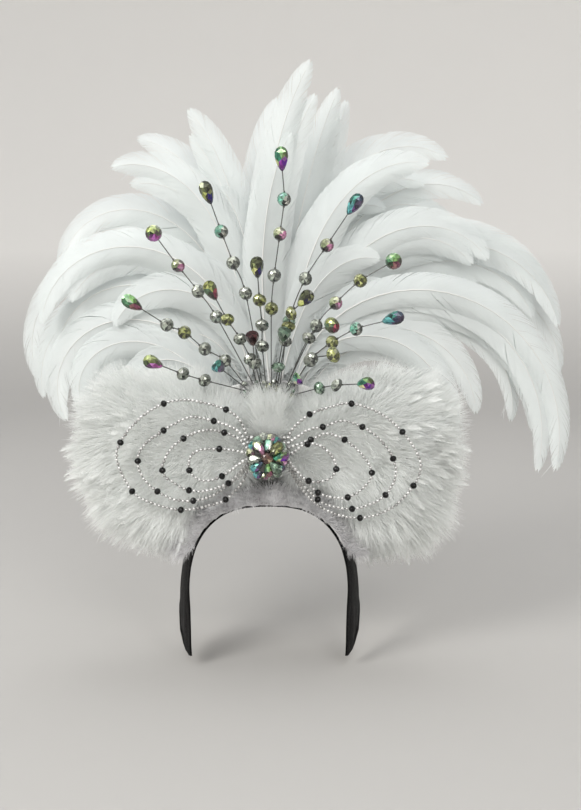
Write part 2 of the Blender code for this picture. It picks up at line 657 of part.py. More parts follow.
def bead_loop(name, index, route):
    """The tube of one string of beads: from the brooch's side, round its loop and back."""
    side = math.copysign(1.0, route[0][0])
    depth = -LOOP_FIRST_DEPTH - LOOP_DEPTH_STEP * index
    rise = LOOP_SEAT_STEP * (4 - index) - 1.0
    seat = side * (BROOCH_PAD_HALF + GAP)
    lead = side * (BROOCH_PAD_HALF + GAP + LOOP_LEAD)
    middle = [(x * LOOP_REACH, z * LOOP_REACH) for x, z in route]
    run = [(lead, BROOCH_Z + rise)] + middle + [(lead, BROOCH_Z - rise)]
    dense = closed_curve(run, 12)
    lengths = np.concatenate([[0.0], np.cumsum([np.linalg.norm(b - a) for a, b in zip(dense, dense[1:])])])
    count = round(lengths[-1] / STRING_PITCH)
    points = [(seat, BROOCH_Z + rise)]
    for i in range(count + 1):
        along = lengths[-1] * i / count
        points.append(tuple(np.interp(along, lengths, [p[axis] for p in dense]) for axis in (0, 1)))
    points.append((seat, BROOCH_Z - rise))
    curve = bpy.data.curves.new(name, "CURVE")
    curve.dimensions = "3D"
    curve.bevel_depth = STRING_DIAMETER / 2 * MM
    curve.bevel_resolution = 2
    curve.use_fill_caps = True
    spline = curve.splines.new("POLY")
    spline.points.add(len(points) - 1)
    for point, (x, z) in zip(spline.points, points):
        point.co = (x * MM, depth * MM, z * MM, 1.0)
    thing = bpy.data.objects.new(name, curve)
    bpy.context.scene.collection.objects.link(thing)
    return finish(thing, PEARL, 0.3)


def main():
    """Build the whole headdress."""
    clear_scene()
    cap_band()
    backing_panel()
    forehead_trim()
    side_fluff("fluff_left", -1.0)
    side_fluff("fluff_right", 1.0)
    centre_tuft()
    for number, row in enumerate(FRONT_PLUMES, 1):
        plume("plume_front_%d" % number, FRONT_QUILL_RADIUS, row)
    for number, row in enumerate(BACK_PLUMES, 1):
        plume("plume_back_%d" % number, BACK_QUILL_RADIUS, row)
    spray_plate()
    for number, row in enumerate(SPRIGS, 1):
        sprig("sprig_%d" % number, row)
    brooch()
    for number, route in enumerate(LEFT_LOOPS):
        bead_loop("loop_left_%d" % (number + 1), number, route)
    for number, route in enumerate(RIGHT_LOOPS):
        bead_loop("loop_right_%d" % (number + 1), number, route)


main()
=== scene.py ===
"""Carnival feather headdress: coque plumes, down, beads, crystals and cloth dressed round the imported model.

Metres, +Z up. The wearer faces -Y and the viewer's right is +X. The origin is the inside of the band's crown.
"""
import logging
import math
from dataclasses import dataclass
from enum import Enum
from typing import ClassVar, Iterable

import bmesh
import bpy
import numpy as np
from mathutils import Matrix, Vector


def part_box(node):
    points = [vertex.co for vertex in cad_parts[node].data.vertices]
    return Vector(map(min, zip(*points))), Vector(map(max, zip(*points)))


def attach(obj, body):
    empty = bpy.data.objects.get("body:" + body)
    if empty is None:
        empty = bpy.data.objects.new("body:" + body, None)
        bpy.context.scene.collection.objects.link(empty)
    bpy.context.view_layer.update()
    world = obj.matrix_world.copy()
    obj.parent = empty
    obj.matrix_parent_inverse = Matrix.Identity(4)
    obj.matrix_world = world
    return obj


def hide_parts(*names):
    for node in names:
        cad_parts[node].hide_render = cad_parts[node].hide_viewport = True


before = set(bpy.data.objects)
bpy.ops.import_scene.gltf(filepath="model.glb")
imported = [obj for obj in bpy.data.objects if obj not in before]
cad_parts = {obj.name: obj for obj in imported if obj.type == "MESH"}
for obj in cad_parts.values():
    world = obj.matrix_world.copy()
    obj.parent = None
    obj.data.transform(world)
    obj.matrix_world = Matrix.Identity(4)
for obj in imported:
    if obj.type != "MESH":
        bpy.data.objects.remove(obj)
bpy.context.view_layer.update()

LOG = logging.getLogger("headdress")
MM = 0.001
BODY = "root"
SEED = 4304
# Toward the viewer, and what drops the depth from a place
AHEAD = np.array((0.0, -1.0, 0.0))
FLAT = np.array((1.0, 0.0, 1.0))


# Shared helpers

def linear(red: float, green: float, blue: float) -> tuple[float, float, float, float]:
    """Turn screen colour shares into the linear colour that shaders take.

    Args:
        red: Screen red, 0 to 1.
        green: Screen green, 0 to 1.
        blue: Screen blue, 0 to 1.

    Returns:
        The linear colour with full alpha.
    """
    return tuple(c / 12.92 if c <= 0.04045 else ((c + 0.055) / 1.055) ** 2.4 for c in (red, green, blue)) + (1.0,)


def unit(vectors: np.ndarray) -> np.ndarray:
    """Scale vectors in the last axis to length one."""
    return vectors / np.maximum(np.linalg.norm(vectors, axis=-1, keepdims=True), 1e-12)


def smooth_run(points: np.ndarray, steps: int) -> np.ndarray:
    """Draw a smooth run through open points.

    Args:
        points: The points, one a row.
        steps: New points for each given span.

    Returns:
        The points of the smooth run, ends included.
    """
    run = np.concatenate([[2 * points[0] - points[1]], points, [2 * points[-1] - points[-2]]])
    result = []
    for a, b, c, d in zip(run, run[1:], run[2:], run[3:]):
        for i in range(steps):
            t = i / steps
            result.append(0.5 * (2 * b + (c - a) * t + (2 * a - 5 * b + 4 * c - d) * t ** 2
                                 + (3 * b - a - 3 * c + d) * t ** 3))
    result.append(run[-2])
    return np.array(result)


class JoinedMesh:
    """Points, faces and their values for one piece that is joined from many small shapes."""

    def __init__(self, name: str) -> None:
        """Start an empty piece of that name."""
        self.name = name
        self.points: list[np.ndarray] = []
        self.tones: list[np.ndarray] = []
        self.faces: list[tuple[np.ndarray, int, bool, np.ndarray | None]] = []
        self.count = 0

    def add(self, points: np.ndarray, faces: np.ndarray, tone: np.ndarray | float = 1.0, material: int = 0,
            smooth: bool = True, colours: np.ndarray | None = None) -> None:
        """Add one group of faces that all have the same number of corners.

        Args:
            points: Places of the group's points, one a row.
            faces: Point numbers of each face, counted within the group.
            tone: One value for each point, or one for all.
            material: Number of the material slot.
            smooth: Whether the faces are shaded smooth.
            colours: Linear colour of each face, or None.
        """
        self.points.append(points.reshape(-1, 3))
        self.tones.append(np.broadcast_to(np.asarray(tone, float), (len(self.points[-1]),)))
        self.faces.append((faces + self.count, material, smooth, colours))
        self.count += len(self.points[-1])

    def ribbons(self, pairs: np.ndarray, tone: np.ndarray | float = 1.0, material: int = 0) -> None:
        """Add flat ribbons.

        Args:
            pairs: Both edges of each ribbon, as ribbon, step along it, edge, place.
            tone: One value for each ribbon, or one for each ribbon and step.
            material: Number of the material slot.
        """
        number, steps = pairs.shape[:2]
        start = (np.arange(number)[:, None] * steps + np.arange(steps - 1)[None, :]) * 2
        faces = np.stack([start, start + 1, start + 3, start + 2], axis=-1).reshape(-1, 4)
        tone = np.asarray(tone, float)
        if tone.ndim == 1:
            tone = tone[:, None]
        tone = np.broadcast_to(tone, (number, steps)) if tone.ndim else tone
        self.add(pairs, faces, np.repeat(tone, 2) if tone.ndim else tone, material)

    def tube(self, path: np.ndarray, radii: np.ndarray, sides: int, tone: float = 1.0, material: int = 0) -> None:
        """Add a tapered tube with closed ends along a path.

        Args:
            path: Points of the tube's middle.
            radii: Radius at each point.
            sides: Sides of the tube.
            tone: Value for all its points.
            material: Number of the material slot.
        """
        way = unit(np.gradient(path, axis=0))
        seed = AHEAD if abs(way[:, 1]).max() < 0.9 else np.array((0.31, -0.2, 0.93))
        side = unit(np.cross(way, seed))
        top = np.cross(side, way)
        turns = 2 * np.pi * np.arange(sides) / sides
        rings = path[:, None] + radii[:, None, None] * (side[:, None] * np.cos(turns)[None, :, None]
                                                         + top[:, None] * np.sin(turns)[None, :, None])
        i, j = np.meshgrid(np.arange(len(path) - 1), np.arange(sides), indexing="ij")
        k = (j + 1) % sides
        quads = np.stack([i * sides + j, (i + 1) * sides + j, (i + 1) * sides + k, i * sides + k], -1).reshape(-1, 4)
        self.add(rings, quads, tone, material)
        fan = np.arange(1, sides - 1)
        caps = np.concatenate([np.stack([0 * fan, fan, fan + 1], -1), sides + np.stack([0 * fan, fan + 1, fan], -1)])
        self.add(rings[[0, -1]], caps, tone, material)

    def copies(self, pattern: "Pattern", frames: np.ndarray, places: np.ndarray, tones: np.ndarray | float = 1.0,
               material: int = 0, smooth: bool = True, colours: np.ndarray | None = None) -> None:
        """Add a small shape many times.

        Args:
            pattern: The small shape.
            frames: Its three directions in each copy, as rows scaled to size.
            places: Where each copy's middle is.
            tones: One value for each copy, or one for all.
            material: Number of the material slot.
            smooth: Whether the faces are shaded smooth.
            colours: Linear colours as copy, face, channel, or None.
        """
        points = np.einsum("pi,nij->npj", pattern.points, frames) + places[:, None]
        shift = np.arange(len(places))[:, None, None] * len(pattern.points)
        faces = (pattern.faces[None] + shift).reshape(-1, pattern.faces.shape[1])
        tone = np.repeat(np.broadcast_to(np.asarray(tones, float), (len(places),)), len(pattern.points))
        self.add(points, faces, tone, material, smooth, None if colours is None else colours.reshape(-1, 4))

    def build(self, materials: Iterable[bpy.types.Material]) -> bpy.types.Object:
        """Make the object.

        Args:
            materials: One material for each slot number.

        Returns:
            The linked object, at the origin.
        """
        mesh = bpy.data.meshes.new(self.name)
        points = np.concatenate(self.points)
        mesh.vertices.add(len(points))
        mesh.vertices.foreach_set("co", points.astype(np.float32).ravel())
        sizes = np.concatenate([np.full(len(f), f.shape[1]) for f, *_rest in self.faces])
        corners = np.concatenate([f.ravel() for f, *_rest in self.faces])
        mesh.loops.add(len(corners))
        mesh.loops.foreach_set("vertex_index", corners.astype(np.int32))
        mesh.polygons.add(len(sizes))
        mesh.polygons.foreach_set("loop_start", (np.cumsum(sizes) - sizes).astype(np.int32))
        mesh.polygons.foreach_set("material_index", np.concatenate(
            [np.full(len(f), m) for f, m, _s, _c in self.faces]).astype(np.int32))
        mesh.polygons.foreach_set("use_smooth", np.concatenate(
            [np.full(len(f), s) for f, _m, s, _c in self.faces]))
        mesh.update(calc_edges=True)
        mesh.attributes.new("tone", "FLOAT", "POINT").data.foreach_set(
            "value", np.concatenate(self.tones).astype(np.float32))
        if any(c is not None for *_rest, c in self.faces):
            paint = np.concatenate([np.repeat(np.ones((len(f), 4)) if c is None else c, f.shape[1], axis=0)
                                    for f, _m, _s, c in self.faces])
            mesh.attributes.new("facet", "FLOAT_COLOR", "CORNER").data.foreach_set(
                "color", paint.astype(np.float32).ravel())
        for material in materials:
            mesh.materials.append(material)
        return link(self.name, mesh)


@dataclass
class Pattern:
    """A small shape made by bmesh operators, ready to be repeated: its points, its triangles and their middles."""

    points: np.ndarray
    faces: np.ndarray

    @classmethod
    def of(cls, builder: bmesh.types.BMesh) -> "Pattern":
        """Take the shape from a bmesh, as triangles, and free it."""
        bmesh.ops.recalc_face_normals(builder, faces=builder.faces)
        bmesh.ops.triangulate(builder, faces=builder.faces)
        builder.verts.index_update()
        points = np.array([v.co for v in builder.verts])
        faces = np.array([[v.index for v in f.verts] for f in builder.faces])
        builder.free()
        return cls(points, faces)

    def middles(self) -> np.ndarray:
        """Give the middle of each triangle."""
        return self.points[self.faces].mean(axis=1)


def mesh_of(name: str, builder: bmesh.types.BMesh) -> bpy.types.Mesh:
    """Turn a bmesh into a mesh of that name, and free it."""
    mesh = bpy.data.meshes.new(name)
    builder.to_mesh(mesh)
    builder.free()
    return mesh


def rounded_box(middle: tuple, size: tuple, corner: float, corner_steps: int, edge: float) -> bmesh.types.BMesh:
    """Make a box whose edges along the depth are well rounded and whose other edges are eased.

    Args:
        middle: Its middle.
        size: Its width, depth and height.
        corner: Radius of the edges that run along the depth.
        corner_steps: Segments of that rounding.
        edge: Width of the small bevel on all edges.

    Returns:
        The box.
    """
    builder = bmesh.new()
    bmesh.ops.create_cube(builder, size=1.0, matrix=Matrix.Translation(middle) @ Matrix.Diagonal((*size, 1.0)))
    along = [e for e in builder.edges if abs(e.verts[0].co.y - e.verts[1].co.y) > 1e-4]
    bmesh.ops.bevel(builder, geom=along, offset=corner, segments=corner_steps, profile=0.5, affect="EDGES",
                    material=-1)
    bmesh.ops.bevel(builder, geom=builder.edges[:], offset=edge, segments=2, profile=0.5, affect="EDGES",
                    material=-1)
    return builder


def link(name: str, mesh: bpy.types.Mesh) -> bpy.types.Object:
    """Put a mesh into the scene as an object at the origin."""
    thing = bpy.data.objects.new(name, mesh)
    bpy.context.scene.collection.objects.link(thing)
    return thing


def hang(piece: bpy.types.Object, node: str) -> bpy.types.Object:
    """Put a finished piece on the frame and report it.

    Args:
        piece: The piece.
        node: The CAD node that the piece stands for.

    Returns:
        The piece.
    """
    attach(piece, BODY)
    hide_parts(node)
    triangles = sum(len(face.vertices) - 2 for face in piece.data.polygons)
    LOG.info("%s: %d triangles", piece.name, triangles)
    return piece


# Finishes

class NodeSketch:
    """A material's node tree while it is put together."""

    def __init__(self, name: str) -> None:
        """Start a material with its Principled shader."""
        self.material = bpy.data.materials.new(name)
        self.material.use_nodes = True
        self.tree = self.material.node_tree
        self.shader = self.tree.nodes["Principled BSDF"]
        self.output = self.tree.nodes["Material Output"]

    def set(self, **values: float | tuple) -> None:
        """Set constant inputs of the Principled shader, named with _ for spaces."""
        for key, value in values.items():
            self.shader.inputs[key.replace("_", " ")].default_value = value

    def node(self, kind: str, inputs: dict | None = None, **settings) -> bpy.types.Node:
        """Add a node.

        Args:
            kind: The node's type name without its ShaderNode prefix.
            inputs: Values, or output sockets to link from, for inputs by name or number.
            **settings: Properties of the node.

        Returns:
            The node.
        """
        made = self.tree.nodes.new("ShaderNode" + kind)
        for key, value in settings.items():
            setattr(made, key, value)
        for key, value in (inputs or {}).items():
            if isinstance(value, bpy.types.NodeSocket):
                self.tree.links.new(value, made.inputs[key])
            else:
                made.inputs[key].default_value = value
        return made

    def into(self, socket: str, value: bpy.types.NodeSocket) -> None:
        """Link an output socket into the Principled shader."""
        self.tree.links.new(value, self.shader.inputs[socket])

    def place(self) -> bpy.types.NodeSocket:
        """Give the Object coordinates."""
        return self.node("TexCoord").outputs["Object"]

    def attribute(self, name: str, output: str = "Fac") -> bpy.types.NodeSocket:
        """Give an attribute of the mesh."""
        return self.node("Attribute", attribute_name=name).outputs[output]

    def noise(self, scale: float, detail: float = 4.0, output: str = "Fac") -> bpy.types.NodeSocket:
        """Give a noise on Object coordinates."""
        return self.node("TexNoise", {"Vector": self.place(), "Scale": scale, "Detail": detail}).outputs[output]

    def mix(self, factor: bpy.types.NodeSocket | float, first: tuple | bpy.types.NodeSocket,
            second: tuple | bpy.types.NodeSocket, blend: str = "MIX") -> bpy.types.NodeSocket:
        """Mix two colours.

        Args:
            factor: How much of the second.
            first: First colour.
            second: Second colour.
            blend: Blend type.

        Returns:
            The mixed colour's socket.
        """
        made = self.node("Mix", data_type="RGBA", blend_type=blend)
        for number, value in ((0, factor), (6, first), (7, second)):
            if isinstance(value, bpy.types.NodeSocket):
                self.tree.links.new(value, made.inputs[number])
            else:
                made.inputs[number].default_value = value
        return made.outputs[2]

    def ramp(self, factor: bpy.types.NodeSocket, stops: Iterable[tuple[float, tuple]]) -> bpy.types.NodeSocket:
        """Turn a value into a colour.

        Args:
            factor: The value.
            stops: Position and colour of each stop, in order.

        Returns:
            The colour's socket.
        """
        made = self.node("ValToRGB", {"Fac": factor})
        elements = made.color_ramp.elements
        stops = list(stops)
        for number, (position, colour) in enumerate(stops):
            element = elements[number] if number < 2 else elements.new(position)
            element.position = position
            element.color = colour
        return made.outputs["Color"]

    def levels(self, factor: bpy.types.NodeSocket, low: float, high: float) -> bpy.types.NodeSocket:
        """Turn a value into black up to one level, and white from another."""
        return self.ramp(factor, ((low, (0, 0, 0, 1)), (high, (1, 1, 1, 1))))

    def bump(self, height: bpy.types.NodeSocket, strength: float, distance: float) -> None:
        """Roughen the surface by a height."""
        self.into("Normal", self.node("Bump", {"Height": height, "Strength": strength,
                                               "Distance": distance}).outputs["Normal"])

    def let_light_through(self, colour: bpy.types.NodeSocket | tuple, share: float) -> None:
        """Mix in a translucent shader, for thin fibres that glow when lit from behind.

        Args:
            colour: Colour of the light that comes through.
            share: How much of the shader is translucent.
        """
        through = self.node("BsdfTranslucent", {"Color": colour})
        mixed = self.node("MixShader", {0: share, 1: self.shader.outputs[0], 2: through.outputs[0]})
        self.tree.links.new(mixed.outputs[0], self.output.inputs["Surface"])


@dataclass(frozen=True)
class FibreFinish:
    """Feather, down or fur: light fibres whose tone varies from one to the next."""

    name: str
    light: tuple
    dark: tuple
    through: float
    roughness: float
    sheen: float
    patch_scale: float = 45.0
    patch: float = 0.25

    def material(self) -> bpy.types.Material:
        """Make the material."""
        sketch = NodeSketch(self.name)
        patches = sketch.levels(sketch.noise(self.patch_scale, 3.0), 0.35, 0.7)
        base = sketch.mix(sketch.attribute("tone"), self.dark, self.light)
        colour = sketch.mix(self.patch, base, sketch.mix(patches, self.dark, self.light))
        sketch.into("Base Color", colour)
        sketch.set(Roughness=self.roughness, Sheen_Weight=self.sheen, Sheen_Roughness=0.5,
                   Specular_IOR_Level=0.25)
        sketch.let_light_through(colour, self.through)
        return sketch.material


@dataclass(frozen=True)
class FeltFinish:
    """Pressed felt: matted short fibres with faint lint."""

    name: str
    colour: tuple
    shade: tuple

    def material(self) -> bpy.types.Material:
        """Make the material."""
        sketch = NodeSketch(self.name)
        mat = sketch.noise(900.0, 8.0)
        sketch.into("Base Color", sketch.mix(sketch.noise(140.0, 6.0), self.shade, self.colour))
        sketch.set(Roughness=0.95, Sheen_Weight=0.4, Sheen_Roughness=0.6, Specular_IOR_Level=0.2)
        sketch.bump(mat, 0.5, 0.0006)
        return sketch.material


@dataclass(frozen=True)
class KnitFinish:
    """Black stretch jersey: fine knit ribs along the cloth, on its own UV map."""

    name: str
    colour: tuple
    worn: tuple
    ribs: float = 150.0
    rows: float = 420.0

    def material(self) -> bpy.types.Material:
        """Make the material."""
        sketch = NodeSketch(self.name)
        cloth = sketch.node("UVMap", uv_map="cloth").outputs["UV"]
        across = sketch.node("Mapping", {"Vector": cloth, "Scale": (self.ribs, self.rows, 1.0)}).outputs["Vector"]
        ribs = sketch.node("TexWave", {"Vector": across, "Scale": 0.31, "Distortion": 0.6, "Detail": 1.0},
                           bands_direction="X").outputs["Fac"]
        loops = sketch.node("TexWave", {"Vector": across, "Scale": 0.31, "Distortion": 0.4},
                            bands_direction="Y").outputs["Fac"]
        knit = sketch.mix(0.5, sketch.levels(ribs, 0.0, 1.0), sketch.levels(loops, 0.0, 1.0))
        wear = sketch.levels(sketch.noise(38.0, 5.0), 0.45, 0.8)
        sketch.into("Base Color", sketch.mix(wear, sketch.mix(knit, self.colour, self.worn), self.worn))
        sketch.set(Roughness=0.55, Sheen_Weight=0.01, Sheen_Roughness=0.35, Specular_IOR_Level=0.12)
        sketch.bump(knit, 0.45, 0.0004)
        return sketch.material


@dataclass(frozen=True)
class MetalFinish:
    """Drawn steel wire or plate with a slightly uneven polish."""

    name: str
    colour: tuple
    dull: tuple
    roughness: float

    def material(self) -> bpy.types.Material:
        """Make the material."""
        sketch = NodeSketch(self.name)
        marks = sketch.noise(260.0, 6.0)
        sketch.into("Base Color", sketch.mix(marks, self.dull, self.colour))
        rough = sketch.node("MapRange", {"Value": marks, "To Min": self.roughness * 0.7,
                                         "To Max": self.roughness * 1.4})
        sketch.into("Roughness", rough.outputs["Result"])
        sketch.set(Metallic=0.9)
        sketch.bump(marks, 0.12, 0.0003)
        return sketch.material


@dataclass(frozen=True)
class GemFinish:
    """Cut stone with a foil back: each facet carries a painted glint and reflection colour from its facet attribute,
    under a clear coat.
    """

    name: str
    metal: float
    roughness: float

    def material(self) -> bpy.types.Material:
        """Make the material."""
        sketch = NodeSketch(self.name)
        facets = sketch.attribute("facet", "Color")
        cloud = sketch.ramp(sketch.noise(420.0, 2.0), ((0.3, (0.55, 0.55, 0.55, 1)), (0.7, (0.95, 0.95, 0.95, 1))))
        sketch.into("Base Color", sketch.mix(1.0, facets, cloud, "MULTIPLY"))
        sketch.set(Roughness=self.roughness, Metallic=self.metal, Coat_Weight=0.7, Coat_Roughness=0.05,
                   Coat_IOR=1.5)
        return sketch.material


@dataclass(frozen=True)
class PearlFinish:
    """Imitation pearl: white to silver-grey lacquer with a soft lustre."""

    name: str
    pale: tuple
    warm: tuple

    def material(self) -> bpy.types.Material:
        """Make the material."""
        sketch = NodeSketch(self.name)
        cloud = sketch.noise(700.0, 2.0)
        tint = sketch.mix(sketch.attribute("tone"), self.warm, self.pale)
        sketch.into("Base Color", sketch.mix(0.25, tint, sketch.mix(cloud, self.warm, self.pale)))
        sketch.set(Roughness=0.28, Coat_Weight=1.0, Coat_Roughness=0.08, Metallic=0.45)
        return sketch.material


@dataclass(frozen=True)
class JetFinish:
    """Black cut glass."""

    name: str

    def material(self) -> bpy.types.Material:
        """Make the material."""
        sketch = NodeSketch(self.name)
        sketch.into("Base Color", sketch.mix(sketch.noise(500.0, 2.0), linear(0.01, 0.01, 0.01),
                                             linear(0.05, 0.045, 0.045)))
        sketch.set(Roughness=0.2, Specular_IOR_Level=0.35)
        return sketch.material


@dataclass(frozen=True)
class PaperFinish:
    """Pale backdrop paper with painted shade: its colour darkens from the wall's tone down to a deeper floor tone."""

    name: str
    wall: tuple
    floor: tuple
    floor_level: float = -0.15
    wall_level: float = 0.22

    def material(self) -> bpy.types.Material:
        """Make the material."""
        sketch = NodeSketch(self.name)
        height = sketch.node("SeparateXYZ", {"Vector": sketch.place()}).outputs["Z"]
        rise = sketch.node("MapRange", {"Value": height, "From Min": self.floor_level,
                                        "From Max": self.wall_level}).outputs["Result"]
        # Painted shade: the colour runs by height from the floor's deeper tone up to the wall's.
        plain = sketch.mix(rise, self.floor, self.wall)
        sketch.into("Base Color", sketch.mix(0.04, plain, sketch.mix(sketch.noise(1.3, 3.0), self.floor, self.wall)))
        sketch.set(Roughness=0.95, Specular_IOR_Level=0.1)
        return sketch.material


class Finishes:
    """Every finish of the headdress, made once."""

    def __init__(self) -> None:
        """Make the materials."""
        self.plume = FibreFinish("plume_white", linear(0.95, 0.963, 0.959), linear(0.865, 0.878, 0.876), through=0.46,
                                 roughness=0.5, sheen=0.3, patch_scale=30.0, patch=0.2).material()
        self.rib = FibreFinish("plume_rib", linear(0.97, 0.97, 0.96), linear(0.90, 0.90, 0.89), through=0.2,
                               roughness=0.4, sheen=0.1).material()
        self.down = FibreFinish("down_white", linear(0.99, 0.995, 0.99), linear(0.90, 0.905, 0.895), through=0.5,
                                roughness=0.8, sheen=0.5, patch_scale=24.0).material()
        self.fur = FibreFinish("edging_fur", linear(0.97, 0.97, 0.97), linear(0.60, 0.58, 0.60), through=0.35,
                               roughness=0.7, sheen=0.35, patch_scale=60.0, patch=0.15).material()
        self.felt = FeltFinish("felt_white", linear(0.93, 0.93, 0.92), linear(0.84, 0.84, 0.83)).material()
        self.knit = KnitFinish("band_jersey", linear(0.01, 0.008, 0.009), linear(0.035, 0.03, 0.03)).material()
        self.wire = MetalFinish("sprig_wire", linear(0.50, 0.50, 0.49), linear(0.30, 0.30, 0.30),
                                roughness=0.35).material()
        self.silver = MetalFinish("plate_silver", linear(0.78, 0.78, 0.78), linear(0.55, 0.55, 0.55),
                                  roughness=0.3).material()
        self.gem = GemFinish("crystal_facets", metal=0.45, roughness=0.14).material()
        self.pearl = PearlFinish("pearl_lacquer", linear(0.87, 0.87, 0.86), linear(0.50, 0.49, 0.48)).material()
        self.jet = JetFinish("jet_glass").material()


# Crown form and the band over it

@dataclass(frozen=True)
class CrownForm:
    """The form that the band keeps when it is worn: a flat crown with steep sides."""

    half_width: float = 79.5 * MM
    half_depth: float = 94.0 * MM
    height: float = 118.0 * MM
    exponent: float = 2.7

    def point(self, angle: float, y: float, offset: float) -> tuple[float, float, float]:
        """Give a point of the form.

        Args:
            angle: Degrees round from the crown.
            y: Distance back from the origin.
            offset: How far outside the form.

        Returns:
            The point.
        """
        share = math.sqrt(max(0.0, 1.0 - (y / (self.half_depth + offset)) ** 2))
        sine, cosine = math.sin(math.radians(angle)), math.cos(math.radians(angle))
        power = 2.0 / self.exponent
        return ((self.half_width + offset) * share * math.copysign(abs(sine) ** power, sine), y,
                (self.height + offset) * share * math.copysign(abs(cosine) ** power, cosine) - self.height)

    def push_out(self, points: np.ndarray, offset: float) -> np.ndarray:
        """Move points that are inside the form out to its surface.

        Args:
            points: Places in the last axis.
            offset: How far outside the form they stay.

        Returns:
            The moved places.
        """
        share = np.sqrt(np.clip(1.0 - (points[..., 1] / (self.half_depth + offset)) ** 2, 1e-6, None))
        up = points[..., 2] + self.height
        across = np.abs(points[..., 0]) / ((self.half_width + offset) * share)
        rise = np.maximum(up, 0.0) / ((self.height + offset) * share)
        inside = (across ** self.exponent + rise ** self.exponent) ** (1.0 / self.exponent)
        factor = np.where(inside < 1.0, 1.0 / np.maximum(inside, 1e-3), 1.0)
        moved = points.copy()
        moved[..., 0] *= factor
        moved[..., 2] = np.where(up > 0.0, up * factor - self.height, points[..., 2])
        return moved


@dataclass
class HeadBand:
    """Wide black stretch band over the crown, with a turned hem and a pointed tab at each end."""

    head: CrownForm
    finishes: Finishes
    front: float = 42.0 * MM
    back: float = 60.0 * MM
    inner: float = 0.2 * MM
    cloth: float = 1.2 * MM
    hem: float = 6.0 * MM
    hem_rise: float = 0.9 * MM
    stitch_depth: float = 0.35 * MM
    stitch_width: float = 0.7 * MM
    tab_depth: float = 0.2
    fold_height: float = 0.5 * MM
    fold_angle: float = 48.0
    fold_run: float = 50.0
    along: int = 150
    across: int = 34
    stations: tuple = ((0, 1, 1), (5, 1, 1), (12, 1, 1), (21, 1, .98), (32, 1, .93), (44, 1, .84), (56, 1, .70),
                       (67, 1.04, .56), (76, 1.13, .42), (84, 1.22, .20), (90, 1.27, -.12), (95, 1.29, -.55),
                       (97.5, 1.30, -.86))

    def reach(self, angle: float) -> tuple[float, float]:
        """Give the band's front and back edge at an angle from the crown."""
        angles, fronts, backs = zip(*self.stations)
        return (-self.front * float(np.interp(abs(angle), angles, fronts)),
                self.back * float(np.interp(abs(angle), angles, backs)))

    def pull_folds(self, angle: float, y: float) -> float:
        """Height of the soft folds where the stretched cloth gathers toward its tabs."""
        near_tab = max(0.0, (abs(angle) - self.fold_angle) / self.fold_run)
        return self.fold_height * near_tab * (math.sin(y / (5.2 * MM) + abs(angle) * 0.11)
                                      + 0.5 * math.sin(y / (2.7 * MM) - abs(angle) * 0.17))

    def build(self) -> bpy.types.Object:
        """Make the band as one cloth with a turned hem, and dress it.

        Returns:
            The band.
        """
        builder = bmesh.new()
        bmesh.ops.create_grid(builder, x_segments=self.along, y_segments=self.across, size=1.0)
        layer = builder.loops.layers.uv.new("cloth")
        for face in builder.faces:
            for corner in face.loops:
                corner[layer].uv = ((corner.vert.co.x + 1) / 2, (corner.vert.co.y + 1) / 2)
        limit = self.stations[-1][0]
        for vert in builder.verts:
            angle = vert.co.x * limit
            start, end = self.reach(angle)
            width = end - start
            y = start + width * (vert.co.y + 1) / 2
            edge = min(y - start, end - y, (1 - abs(vert.co.x)) * self.tab_depth)
            hem = max(0.0, 1.0 - (edge / self.hem) ** 6) if edge < self.hem else 0.0
            stitch = self.stitch_depth * math.exp(-((edge - self.hem) / self.stitch_width) ** 2)
            lift = self.inner + self.cloth + self.hem_rise * hem - stitch + self.pull_folds(angle, y)
            vert.co = self.head.point(angle, y, lift)
        bmesh.ops.recalc_face_normals(builder, faces=builder.faces)
        bmesh.ops.solidify(builder, geom=builder.faces[:], thickness=self.cloth)
        bmesh.ops.recalc_face_normals(builder, faces=builder.faces)
        mesh = mesh_of("cap_band_cloth", builder)
        mesh.shade_smooth()
        mesh.materials.append(self.finishes.knit)
        band = hang(link("cap_band_cloth", mesh), "cap_band")
        return band


# Feathers

@dataclass(frozen=True)
class PlumeRoute:
    """Where one plume's rib runs. Degrees are from straight up, + to the viewer's right.

    The gap and the lean are in millimetres, for the first layer and for each one behind it.
    """

    root: float
    start: float
    bend: float
    curl: float
    length: float
    width: float
    layer: int
    quill_radius: float
    behind: float = 0.0
    gap: tuple = (7.0, 4.0)
    lean: tuple = (12.0, 10.0)
    lean_radius: float = 0.3

    def depth(self, x: np.ndarray, z: np.ndarray) -> np.ndarray:
        """Give how far back this plume's layer lies at places across and up."""
        radius = np.hypot(x, z - PlumeFan.centre_z)
        gap, lean = ((first + step * self.layer) * MM for first, step in (self.gap, self.lean))
        return gap + self.behind + lean * (radius / self.lean_radius) ** 2

    def line(self, steps: int = 240) -> tuple[np.ndarray, np.ndarray]:
        """Follow the rib.

        Args:
            steps: Spans along it.

        Returns:
            Across and up of each point, and the heading there in radians.
        """
        middle = (np.arange(steps) + 0.5) / steps
        heading = np.radians(self.start + self.bend * middle ** self.curl)
        step = self.length / steps
        x = self.quill_radius * math.sin(math.radians(self.root)) + np.concatenate(
            [[0.0], np.cumsum(np.sin(heading) * step)])
        z = PlumeFan.centre_z + self.quill_radius * math.cos(math.radians(self.root)) + np.concatenate(
            [[0.0], np.cumsum(np.cos(heading) * step)])
        ends = np.radians(self.start + self.bend * (np.arange(steps + 1) / steps) ** self.curl)
        return np.stack([x, z], axis=-1), ends


